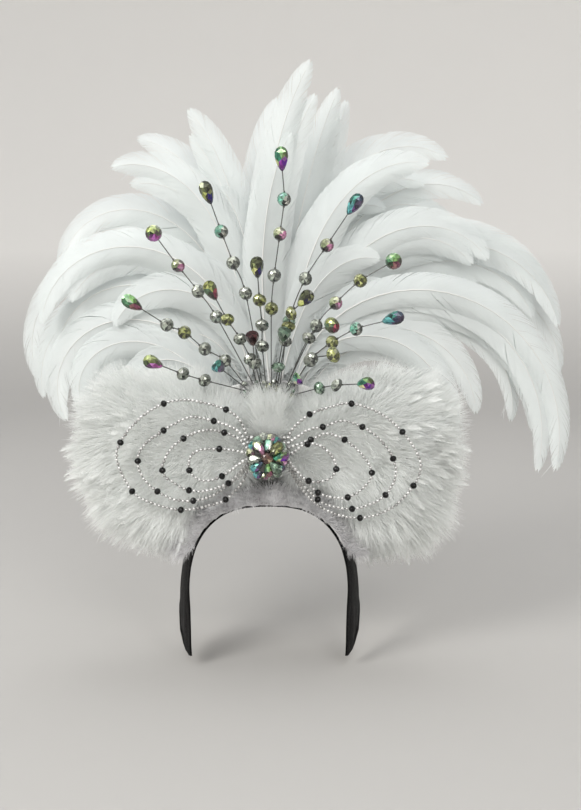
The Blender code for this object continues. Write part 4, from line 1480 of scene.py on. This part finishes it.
@dataclass
class Spray:
    """The plate, its solder and crystal chips, and the eighteen sprigs. The level is in millimetres."""

    stones: StoneBox
    finishes: Finishes
    rows: tuple = (
        # seat across, seat up, tip across, tip forward, tip up (the last three in tenths of a metre), end,
        # stones as share of the wire and millimetres beside it
        (2, 5, .12, .40, 2.76, "drop", ((.86, 3), (.705, 1), (.515, -2), (.36, -3))),
        (-6, 5, -.48, .38, 2.49, "drop", ((.835, 2), (.665, 4.5), (.495, 7.5))),
        (-14, 5, -.95, .40, 2.22, "round", ((.785, 2), (.61, 4.5), (.435, 5.5))),
        (-10, .5, -.43, .62, 1.7, "drop", ((.76, 1.5), (.54, 4.5), (.315, 5))),
        (-21.5, 4.5, -1.07, .50, 1.61, "drop", ((.76, 2), (.62, 5.5), (.42, 4.5), (.24, 6.5))),
        (-22, -1, -.89, .62, 1.14, "drop", ((.73, -1.5), (.475, -1.5))),
        (-13, -5, -.37, .75, 1.12, "drop", ()),
        (-2.5, .5, -.08, .58, 1.88, "drop", ((.79, 0), (.575, .5), (.39, -.5))),
        (7, .5, .27, .72, 1.65, "drop", ((.88, -5), (.73, -4.5), (.57, -4))),
        (10, 5, .68, .42, 2.4, "drop", ((.795, -7), (.59, -13.5), (.34, -13))),
        (16.5, 5, 1.05, .42, 1.99, "round", ((.785, -10.5), (.585, -14), (.4, -14))),
        (22, 4.5, .98, .52, 1.5, "drop", ((.755, -8.5), (.515, -11), (.28, -9.5))),
        (15, .5, .53, .64, 1.47, "round", ((.72, -9.5),)), (20, -1.5, .54, .76, 1.24, "round", ((.64, -9),)),
        (13, -5, .24, .78, 1.03, "drop", ()), (23.5, -4.5, .76, .68, .99, "drop", ((.67, -2), (.4, -2))),
        (-5, -4, -.12, .62, 1.32, "drop", ((.62, -1.5),)), (4, -4.5, .13, .70, 1.36, "drop", ((.52, 0),)))
    ends: tuple = (Glow.VIOLET, Glow.SMOKE, Glow.PINK, Glow.ROSE, Glow.LIME, Glow.PINK, Glow.TEAL, Glow.SMOKE,
                   Glow.SMOKE, Glow.TEAL, Glow.LIME, Glow.TEAL, Glow.ROSE, Glow.OLIVE, Glow.VIOLET, Glow.VIOLET,
                   Glow.GARNET, Glow.SAGE)
    beads: tuple = ((Glow.MINT, Glow.BLUSH, Glow.CLEAR, Glow.OLIVE), (Glow.MINT, Glow.CLEAR, Glow.CLEAR),
                    (Glow.BLUSH, Glow.CLEAR, Glow.CLEAR), (Glow.OLIVE, Glow.CLEAR, Glow.CLEAR),
                    (Glow.CLEAR, Glow.OLIVE, Glow.CLEAR, Glow.CLEAR), (Glow.CLEAR, Glow.CLEAR), (),
                    (Glow.OLIVE, Glow.CLEAR, Glow.CLEAR), (Glow.OLIVE, Glow.OLIVE, Glow.CLEAR),
                    (Glow.BLUSH, Glow.CLEAR, Glow.SAGE), (Glow.OLIVE, Glow.BLUSH, Glow.CLEAR),
                    (Glow.MINT, Glow.OLIVE, Glow.CLEAR), (Glow.CLEAR,), (Glow.CLEAR,), (), (Glow.CLEAR, Glow.SAGE),
                    (Glow.CLEAR,), (Glow.SAGE,))
    half_width: float = 26.0 * MM
    half_height: float = 7.0 * MM
    wall: float = 3.0 * MM
    level: float = 87.0
    chips: int = 26

    def plate(self) -> bpy.types.Object:
        """Make the plate with rounded edges, solder on its wires and the chips that hide them."""
        middle = (0.0, -0.3 * MM - self.wall / 2, self.level * MM)
        plate = Pattern.of(rounded_box(middle, (2 * self.half_width, self.wall, 2 * self.half_height), 3.0 * MM, 4,
                                       0.4 * MM))
        joined = JoinedMesh("spray_plate_silver")
        joined.add(plate.points, plate.faces, 1.0, 1, False)
        bead = bmesh.new()
        bmesh.ops.create_icosphere(bead, subdivisions=2, radius=1.0)
        blob = Pattern.of(bead)
        rng = np.random.default_rng([SEED, 77])
        seats = np.array([(row[0] * MM, -3.4 * MM, self.level * MM + row[1] * MM) for row in self.rows])
        sizes = np.array([np.diag((1.9, 1.2, 1.9)) * MM * rng.uniform(0.8, 1.2) for _row in self.rows])
        joined.copies(blob, sizes, seats, 1.0, 1)
        for i in range(self.chips):
            across = rng.uniform(-24.0, 24.0)
            place = np.array((across, rng.uniform(-12.0, -4.0), self.level + rng.uniform(-7.5, 8.0))) * MM
            glow = (Glow.CLEAR, Glow.SAGE, Glow.CLEAR, Glow.OLIVE)[i % 4]
            self.stones.set_stone(joined, rng, glow, place, rng.normal(size=3), (0.0, -1.0, 0.1)
                                  + rng.normal(0.0, 0.5, 3), rng.uniform(1.8, 3.4) * MM)
            back = place * FLAT + 3.0 * MM * AHEAD
            joined.tube(np.array([back, place]), np.full(2, 0.35 * MM), 5, 1.0, 1)
        return hang(joined.build([self.finishes.gem, self.finishes.silver]), "spray_plate")

    def build(self) -> list[bpy.types.Object]:
        """Make the plate and the sprigs.

        Returns:
            The pieces.
        """
        pieces = [self.plate()]
        for number, (row, end, beads) in enumerate(zip(self.rows, self.ends, self.beads), 1):
            pieces.append(Sprig(number, row, end, beads, self.stones, self.finishes).build())
        return pieces


@dataclass
class Brooch:
    """Cluster of cut stones in a dull metal cup, on a stem that reaches back to the panel.

    Ranges of half widths and of the rim stones' reach are in millimetres.
    """

    stones: StoneBox
    finishes: Finishes
    centre: tuple = (0.0, -76.0 * MM, 39.0 * MM)
    half_width: float = 12.0 * MM
    half_height: float = 16.0 * MM
    back: float = -50.0 * MM
    ring: float = 11.0 * MM
    tilt: float = 24.0
    step: float = 1.3 * MM
    stem_radius: float = 5.0 * MM
    drop_half: tuple = (4.2, 5.2)
    rim_stones: int = 16
    rim_reach: tuple = (12.5, 14.5)
    rim_half: tuple = (3.8, 4.8)
    middle_half: float = 5.6 * MM
    glows: tuple = (Glow.VIOLET, Glow.OLIVE, Glow.MINT, Glow.BLUSH, Glow.CLEAR, Glow.TEAL, Glow.LIME, Glow.SAGE)

    def cup(self) -> Pattern:
        """Make the cup that holds the stones, and its stem."""
        middle = (0.0, (self.back + self.centre[1]) / 2, self.centre[2])
        size = (2 * self.half_width, self.back - self.centre[1], 2 * self.half_height)
        builder = rounded_box(middle, size, 10.0 * MM, 9, 0.6 * MM)
        stem = Matrix.Translation((0.0, (self.back - 0.3 * MM) / 2, self.centre[2])) @ Matrix.Rotation(
            math.pi / 2, 4, "X")
        bmesh.ops.create_cone(builder, cap_ends=True, segments=20, radius1=self.stem_radius,
                              radius2=self.stem_radius, depth=-self.back - 0.3 * MM, matrix=stem)
        return Pattern.of(builder)

    def build(self) -> bpy.types.Object:
        """Make the brooch.

        Returns:
            The piece.
        """
        rng = np.random.default_rng([SEED, 31])
        joined = JoinedMesh("brooch_cluster")
        cup = self.cup()
        joined.add(cup.points, cup.faces, 1.0, 1, False)
        centre, tilt = np.array(self.centre), math.radians(self.tilt)
        for i, glow in enumerate(self.glows):
            turn = 2 * math.pi * i / len(self.glows) + rng.uniform(-0.14, 0.14)
            outward = np.array((math.cos(turn), 0.0, math.sin(turn)))
            place = centre + outward * (self.ring + rng.uniform(-1.0, 1.0) * MM) + AHEAD * (
                self.step * (i % 2) + rng.uniform(0.8, 2.6) * MM)
            way = outward * math.cos(tilt) - AHEAD * math.sin(tilt)
            face = AHEAD * math.cos(tilt) + outward * math.sin(tilt) + rng.normal(0.0, 0.24, 3)
            self.stones.set_stone(joined, rng, glow, place, way, face, rng.uniform(*self.drop_half) * MM, True,
                                  thick=1.3)
        for i in range(self.rim_stones):
            turn = 2 * math.pi * (i + 0.5) / self.rim_stones
            outward = np.array((math.cos(turn), 0.0, 1.18 * math.sin(turn)))
            place = centre + outward * rng.uniform(*self.rim_reach) * MM + AHEAD * rng.uniform(-3.0, -0.5) * MM
            face = AHEAD + outward * rng.uniform(0.2, 0.9) + rng.normal(0.0, 0.2, 3)
            glow = (Glow.CLEAR, Glow.SAGE, Glow.TEAL, Glow.BLUSH)[i % 4]
            self.stones.set_stone(joined, rng, glow, place, outward - AHEAD, face, rng.uniform(*self.rim_half) * MM)
        self.stones.set_stone(joined, rng, Glow.BROWN, centre + AHEAD * 3.2 * MM, np.array((1.0, 0.0, 0.0)), AHEAD,
                              self.middle_half)
        return hang(joined.build([self.finishes.gem, self.finishes.wire]), "brooch")


@dataclass
class BeadLoop:
    """One loop of pearls and black cut beads on a wire, out of the brooch's side and back.

    Lengths are in millimetres, and the route is in tenths of a metre.
    """

    side: str
    number: int
    route: tuple
    black: tuple
    finishes: Finishes
    first_depth: float = 56.0
    depth_step: float = 4.6
    seat_step: float = 3.5
    centre_z: float = 39.0
    seat_x: float = 12.3
    lead: float = 5.0
    pearl_radius: float = 1.48
    bead_radius: float = 2.95
    pitch: float = 3.35
    steps: int = 12
    wire_radius: float = 0.42

    def run(self) -> tuple[np.ndarray, np.ndarray]:
        """Give the wire's points in millimetres, and the numbers of those where the black beads are."""
        sign = -1.0 if self.side == "left" else 1.0
        rise = self.seat_step * (5 - self.number) - 1.0
        lead, seat = sign * (self.seat_x + self.lead), sign * self.seat_x
        above, below = self.centre_z + rise, self.centre_z - rise
        points = [(lead, above), *[(x * 100, z * 100) for x, z in self.route], (lead, below)]
        smooth = smooth_run(np.array(points, float), self.steps)
        flat = np.concatenate([[(seat, above)], smooth, [(seat, below)]])
        depth = -self.first_depth - self.depth_step * (self.number - 1)
        full = np.stack([flat[:, 0], np.full(len(flat), depth), flat[:, 1]], axis=1)
        return full, 1 + self.steps * (np.array(self.black) + 1)

    def build(self, pearl: Pattern, jet: Pattern) -> bpy.types.Object:
        """Make the loop.

        Args:
            pearl: A round bead of radius one.
            jet: A cut bead of radius one.

        Returns:
            The piece.
        """
        rng = np.random.default_rng([SEED, len(self.side), self.number])
        path, marks = self.run()
        along = np.concatenate([[0.0], np.cumsum(np.linalg.norm(np.diff(path, axis=0), axis=1))])
        stops = along[marks]
        spots = []
        fences = np.concatenate([[-self.pearl_radius], stops, [along[-1] + self.pearl_radius]])
        for i, (start, end) in enumerate(zip(fences, fences[1:])):
            low = start + (self.bead_radius if i else self.pearl_radius) + self.pearl_radius
            high = end - (self.bead_radius if i < len(stops) else self.pearl_radius) - self.pearl_radius
            if high > low:
                spots.extend(np.linspace(low, high, max(1, int((high - low) / self.pitch) + 1)))
        spots = np.array(spots)

        def at(where: np.ndarray) -> np.ndarray:
            """Give places along the wire, in metres."""
            return np.stack([np.interp(where, along, path[:, axis]) for axis in range(3)], axis=1) * MM

        places = at(spots)
        ways = unit(at(spots + 0.5) - at(spots - 0.5) + 1e-9)
        ahead = np.broadcast_to(AHEAD, ways.shape)
        swell = 1.0 + 0.3 * np.clip(1.0 - np.abs(places[:, 0]) / 0.042, 0.0, 1.0) + rng.normal(0.0, 0.05, len(places))
        frames = np.stack([unit(np.cross(ways, ahead)), ahead, ways], axis=1) * (
            self.pearl_radius * MM * swell[:, None, None])
        places = places + rng.normal(0.0, 0.12 * MM, places.shape)
        joined = JoinedMesh("pearl_loop_%s_%d" % (self.side, self.number))
        joined.copies(pearl, frames, places, np.clip(rng.normal(0.75, 0.28, len(places)), 0, 1))
        ways = unit(at(stops + 0.5) - at(stops - 0.5))
        ahead = unit(np.cross(ways, rng.normal(size=ways.shape)))
        frames = np.stack([np.cross(ways, ahead), ahead, ways * 0.92], axis=1) * self.bead_radius * MM
        joined.copies(jet, frames, at(stops), 1.0, 1, False)
        joined.tube(path[::2] * MM, np.full(len(path[::2]), self.wire_radius * MM), 5, 1.0, 2)
        piece = joined.build([self.finishes.pearl, self.finishes.jet, self.finishes.wire])
        return hang(piece, "loop_%s_%d" % (self.side, self.number))


@dataclass
class BeadLoops:
    """The four pearl loops on each side of the brooch."""

    finishes: Finishes
    left: tuple = (
        ((-.23, .66), (-.35, .76), (-.65, .84), (-.87, .81), (-1.09, .67), (-1.24, .48), (-1.27, .32), (-1.15, .06),
         (-.96, -.05), (-.74, -.10), (-.53, -.07), (-.36, -.01), (-.22, .14)),
        ((-.27, .60), (-.45, .67), (-.65, .70), (-.87, .59), (-1.04, .46), (-1.09, .33), (-1.05, .19), (-.93, .07),
         (-.78, 0), (-.63, -.01), (-.46, .04), (-.26, .18)),
        ((-.24, .53), (-.36, .58), (-.52, .60), (-.70, .53), (-.83, .41), (-.88, .26), (-.81, .17), (-.66, .09),
         (-.50, .09), (-.33, .15), (-.23, .25)),
        ((-.24, .43), (-.40, .45), (-.56, .44), (-.64, .38), (-.65, .27), (-.60, .21), (-.51, .18), (-.38, .22),
         (-.24, .32)))
    left_black: tuple = ((1, 3, 5, 7, 9, 11), (1, 3, 5, 7, 9), (1, 3, 5, 7, 9), (1, 4, 7))
    right: tuple = (
        ((.21, .60), (.35, .72), (.52, .78), (.70, .81), (.94, .73), (1.13, .57), (1.25, .40), (1.29, .27),
         (1.23, .11), (1.05, -.08), (.78, -.17), (.51, -.11), (.34, .02), (.23, .17)),
        ((.24, .53), (.35, .60), (.46, .62), (.62, .67), (.79, .62), (.94, .51), (1.05, .35), (1.07, .19),
         (.99, .04), (.86, -.04), (.71, -.08), (.55, -.06), (.42, 0), (.26, .17)),
        ((.23, .47), (.36, .52), (.49, .57), (.64, .52), (.78, .40), (.87, .24), (.80, .11), (.67, .03), (.55, .03),
         (.42, .07), (.26, .23)),
        ((.21, .42), (.33, .49), (.45, .47), (.54, .38), (.57, .28), (.50, .19), (.34, .18), (.22, .29)))
    right_black: tuple = ((1, 3, 5, 8, 10), (2, 4, 6, 8, 10, 12), (1, 3, 5, 7, 9), (1, 4, 6))

    def build(self) -> list[bpy.types.Object]:
        """Make the eight loops.

        Returns:
            The pieces.
        """
        ball = bmesh.new()
        bmesh.ops.create_uvsphere(ball, u_segments=10, v_segments=6, radius=1.0)
        pearl = Pattern.of(ball)
        cut = bmesh.new()
        bmesh.ops.create_icosphere(cut, subdivisions=2, radius=1.0)
        jet = Pattern.of(cut)
        pieces = []
        for side, routes, blacks in (("left", self.left, self.left_black), ("right", self.right, self.right_black)):
            for number, (route, black) in enumerate(zip(routes, blacks), 1):
                pieces.append(BeadLoop(side, number, route, black, self.finishes).build(pearl, jet))
        return pieces


@dataclass
class FeltPanel:
    """The felt-covered panel that carries everything, with whipped edges."""

    finishes: Finishes
    head: CrownForm
    wall: float = 3.0 * MM
    half_width: float = 100.0 * MM
    foot_half: float = 60.0 * MM
    top: float = 94.0 * MM
    gap: float = 2.8 * MM
    stitch_pitch: float = 4.5 * MM
    stitch_margin: float = 2.0 * MM
    thread_radius: float = 0.28 * MM

    def outline(self) -> list[tuple[float, float]]:
        """Give the panel's outline, (across, up): the crown line and the arch."""
        angles = np.linspace(-97.5, 97.5, 79)
        crown = [self.head.point(angle, 0.0, self.gap)[::2] for angle in angles]
        foot = [(x, z) for x, z in crown if abs(x) <= self.foot_half]
        low = foot[0][1]
        arch = []
        for i in range(49):
            turn = math.pi * i / 48
            arch.append((self.half_width * math.cos(turn), low + (self.top - low) * math.sin(turn) ** 0.8))
        return foot + arch

    def build(self) -> bpy.types.Object:
        """Make the panel.

        Returns:
            The piece.
        """
        builder = bmesh.new()
        corners = [builder.verts.new((x, 0.0, z)) for x, z in self.outline()]
        face = builder.faces.new(corners)
        grown = bmesh.ops.extrude_face_region(builder, geom=[face])
        moved = [v for v in grown["geom"] if isinstance(v, bmesh.types.BMVert)]
        bmesh.ops.translate(builder, verts=moved, vec=(0.0, self.wall, 0.0))
        rim = [e for e in builder.edges if abs(e.verts[0].co.y - e.verts[1].co.y) < 1e-6]
        bmesh.ops.bevel(builder, geom=rim, offset=0.9 * MM, segments=3, profile=0.5, affect="EDGES", material=-1)
        shape = Pattern.of(builder)
        joined = JoinedMesh("felt_panel")
        joined.add(shape.points, shape.faces, 1.0, 0, False)
        loop = np.array([(x, z) for x, z in self.outline()])
        loop = np.concatenate([loop, loop[:1]])
        along = np.concatenate([[0.0], np.cumsum(np.linalg.norm(np.diff(loop, axis=0), axis=1))])
        for where in np.arange(self.stitch_margin, along[-1] - self.stitch_margin, self.stitch_pitch):
            x, z = (np.interp(where, along, loop[:, axis]) for axis in (0, 1))
            ahead = np.array([np.interp(where + MM, along, loop[:, axis]) for axis in (0, 1)]) - (x, z)
            inward = unit(np.array((-ahead[1], ahead[0])))
            if inward @ (np.array((0.0, 20.0 * MM)) - (x, z)) < 0:
                inward = -inward
            thread = []
            for share in np.linspace(0.0, 1.0, 7):
                reach = (0.5 + 3.2 * abs(share - 0.5) * 2 - 0.9) * MM
                y = -0.15 * MM if share < 0.35 else (self.wall + 0.15 * MM if share > 0.65 else self.wall / 2)
                thread.append((x + inward[0] * reach, y, z + inward[1] * reach))
            joined.tube(np.array(thread), np.full(7, self.thread_radius), 5, 0.9, 1)
        return hang(joined.build([self.finishes.felt, self.finishes.rib]), "backing_panel")


# Studio and camera

@dataclass(frozen=True)
class Studio:
    """A plain pale bowl-shaped backdrop with soft lights, and the camera at the photograph's angle."""

    floor_z: float = -0.150
    radius: float = 3.4
    wall_top: float = 3.6
    curve: float = 1.8
    lens: float = 47.2
    eye: tuple = (0.019, -0.9358, 0.2035)
    pitch: float = 82.0
    spread: float = 110.0
    curve_steps: int = 12
    turn_steps: int = 72
    lights: tuple = (("key", (-1.65, -1.45, 1.4), 1.1, 14.5, (1.0, 0.99, 0.97)),
                     ("fill", (0.5, -1.9, 1.2), 1.4, 8.0, (1.0, 0.99, 0.97)),
                     ("top", (0.2, 0.9, 2.2), 1.6, 4.5, (1.0, 1.0, 1.0)))

    def backdrop(self) -> None:
        """Spin the floor and its curved wall."""
        builder = bmesh.new()
        run = [(0.0, self.floor_z), (self.radius - self.curve, self.floor_z)]
        for i in range(1, self.curve_steps + 1):
            turn = math.pi / 2 * i / self.curve_steps
            run.append((self.radius - self.curve + self.curve * math.sin(turn),
                        self.floor_z + self.curve * (1 - math.cos(turn))))
        run.append((self.radius, self.wall_top))
        verts = [builder.verts.new((x, 0.0, z)) for x, z in run]
        edges = [builder.edges.new(pair) for pair in zip(verts, verts[1:])]
        bmesh.ops.spin(builder, geom=verts + edges, cent=(0, 0, 0), axis=(0, 0, 1), angle=2 * math.pi,
                       steps=self.turn_steps, use_merge=True)
        bmesh.ops.remove_doubles(builder, verts=builder.verts, dist=1e-5)
        bmesh.ops.recalc_face_normals(builder, faces=builder.faces)
        mesh = mesh_of("backdrop", builder)
        mesh.shade_smooth()
        mesh.materials.append(PaperFinish("backdrop_paper", linear(0.935, 0.925, 0.905), linear(0.70, 0.692, 0.678))
                              .material())
        link("backdrop", mesh)

    def light(self, name: str, place: tuple, size: float, power: float, colour: tuple) -> None:
        """Hang a square soft light that looks at the headdress.

        Args:
            name: Its name.
            place: Where it is.
            size: Length of its side.
            power: Its power in watts.
            colour: Its colour.
        """
        data = bpy.data.lights.new(name, "AREA")
        data.size, data.energy, data.color, data.spread = size, power, colour, math.radians(self.spread)
        lamp = bpy.data.objects.new(name, data)
        lamp.location = place
        lamp.rotation_euler = (Vector((0.0, 0.0, 0.1)) - Vector(place)).to_track_quat("-Z", "Y").to_euler()
        lamp.visible_camera = False
        bpy.context.scene.collection.objects.link(lamp)

    def camera(self) -> None:
        """Set the camera up."""
        data = bpy.data.cameras.new("front_view")
        data.sensor_fit, data.sensor_height, data.lens, data.clip_start = "VERTICAL", 36.0, self.lens, 0.01
        eye = bpy.data.objects.new("front_view", data)
        eye.location = self.eye
        eye.rotation_euler = (math.radians(self.pitch), 0.0, 0.0)
        bpy.context.scene.collection.objects.link(eye)
        bpy.context.scene.camera = eye

    def build(self) -> None:
        """Set up the whole studio."""
        self.backdrop()
        self.camera()
        bpy.context.scene.view_settings.view_transform = "Standard"
        for row in self.lights:
            self.light(*row)
        world = bpy.data.worlds.new("studio_air")
        world.use_nodes = True
        air = world.node_tree.nodes["Background"]
        air.inputs["Color"].default_value = (0.93, 0.95, 1.0, 1.0)
        air.inputs["Strength"].default_value = 0.95
        bpy.context.scene.world = world


def main() -> None:
    """Build the headdress piece by piece."""
    logging.basicConfig(level=logging.INFO, format="%(message)s")
    Studio().build()
    finishes = Finishes()
    head = CrownForm()
    HeadBand(head, finishes).build()
    FeltPanel(finishes, head).build()
    PlumeFan(finishes).build()
    for side, sign in (("left", -1.0), ("right", 1.0)):
        SideFluff("fluff_down_" + side, "fluff_" + side, "fluff", finishes.down, head, number=38000,
                  shortest=13.0 * MM, longest=27.0 * MM, half_width=0.24 * MM, locks=2200, pull=0.3, curl=1.8 * MM,
                  droop=0.12, voxel=5.0 * MM, draw_in=0.96, clear=4.6 * MM, seed=11 + int(sign), steps=3,
                  feathers=90, side=sign).build()
    # Painted shade: the tuft above the brooch takes darker tones than the same down at the sides.
    CrownFluff("fluff_down_centre", "fluff_centre", "fluff", finishes.down, head, number=7000, shortest=9.0 * MM,
               longest=22.0 * MM, half_width=0.23 * MM, locks=420, pull=0.3, curl=1.8 * MM, droop=0.05,
               voxel=3.0 * MM, draw_in=1.0, clear=4.6 * MM, seed=21, tufts=12, tones=(0.45, 0.85),
               fan=0.25).build()
    BrowFur("brow_fur", "forehead_trim", "edging_fur", finishes.fur, head, number=9000, shortest=6.0 * MM,
            longest=14.0 * MM, half_width=0.2 * MM, locks=600, pull=0.35, curl=0.8 * MM, droop=0.1,
            voxel=2.5 * MM, draw_in=1.0, clear=3.0 * MM, seed=22, tones=(0.45, 1.0), fan=0.25).build()
    stones = StoneBox()
    Spray(stones, finishes).build()
    Brooch(stones, finishes).build()
    BeadLoops(finishes).build()
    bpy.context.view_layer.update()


if __name__ == "__main__":
    main()
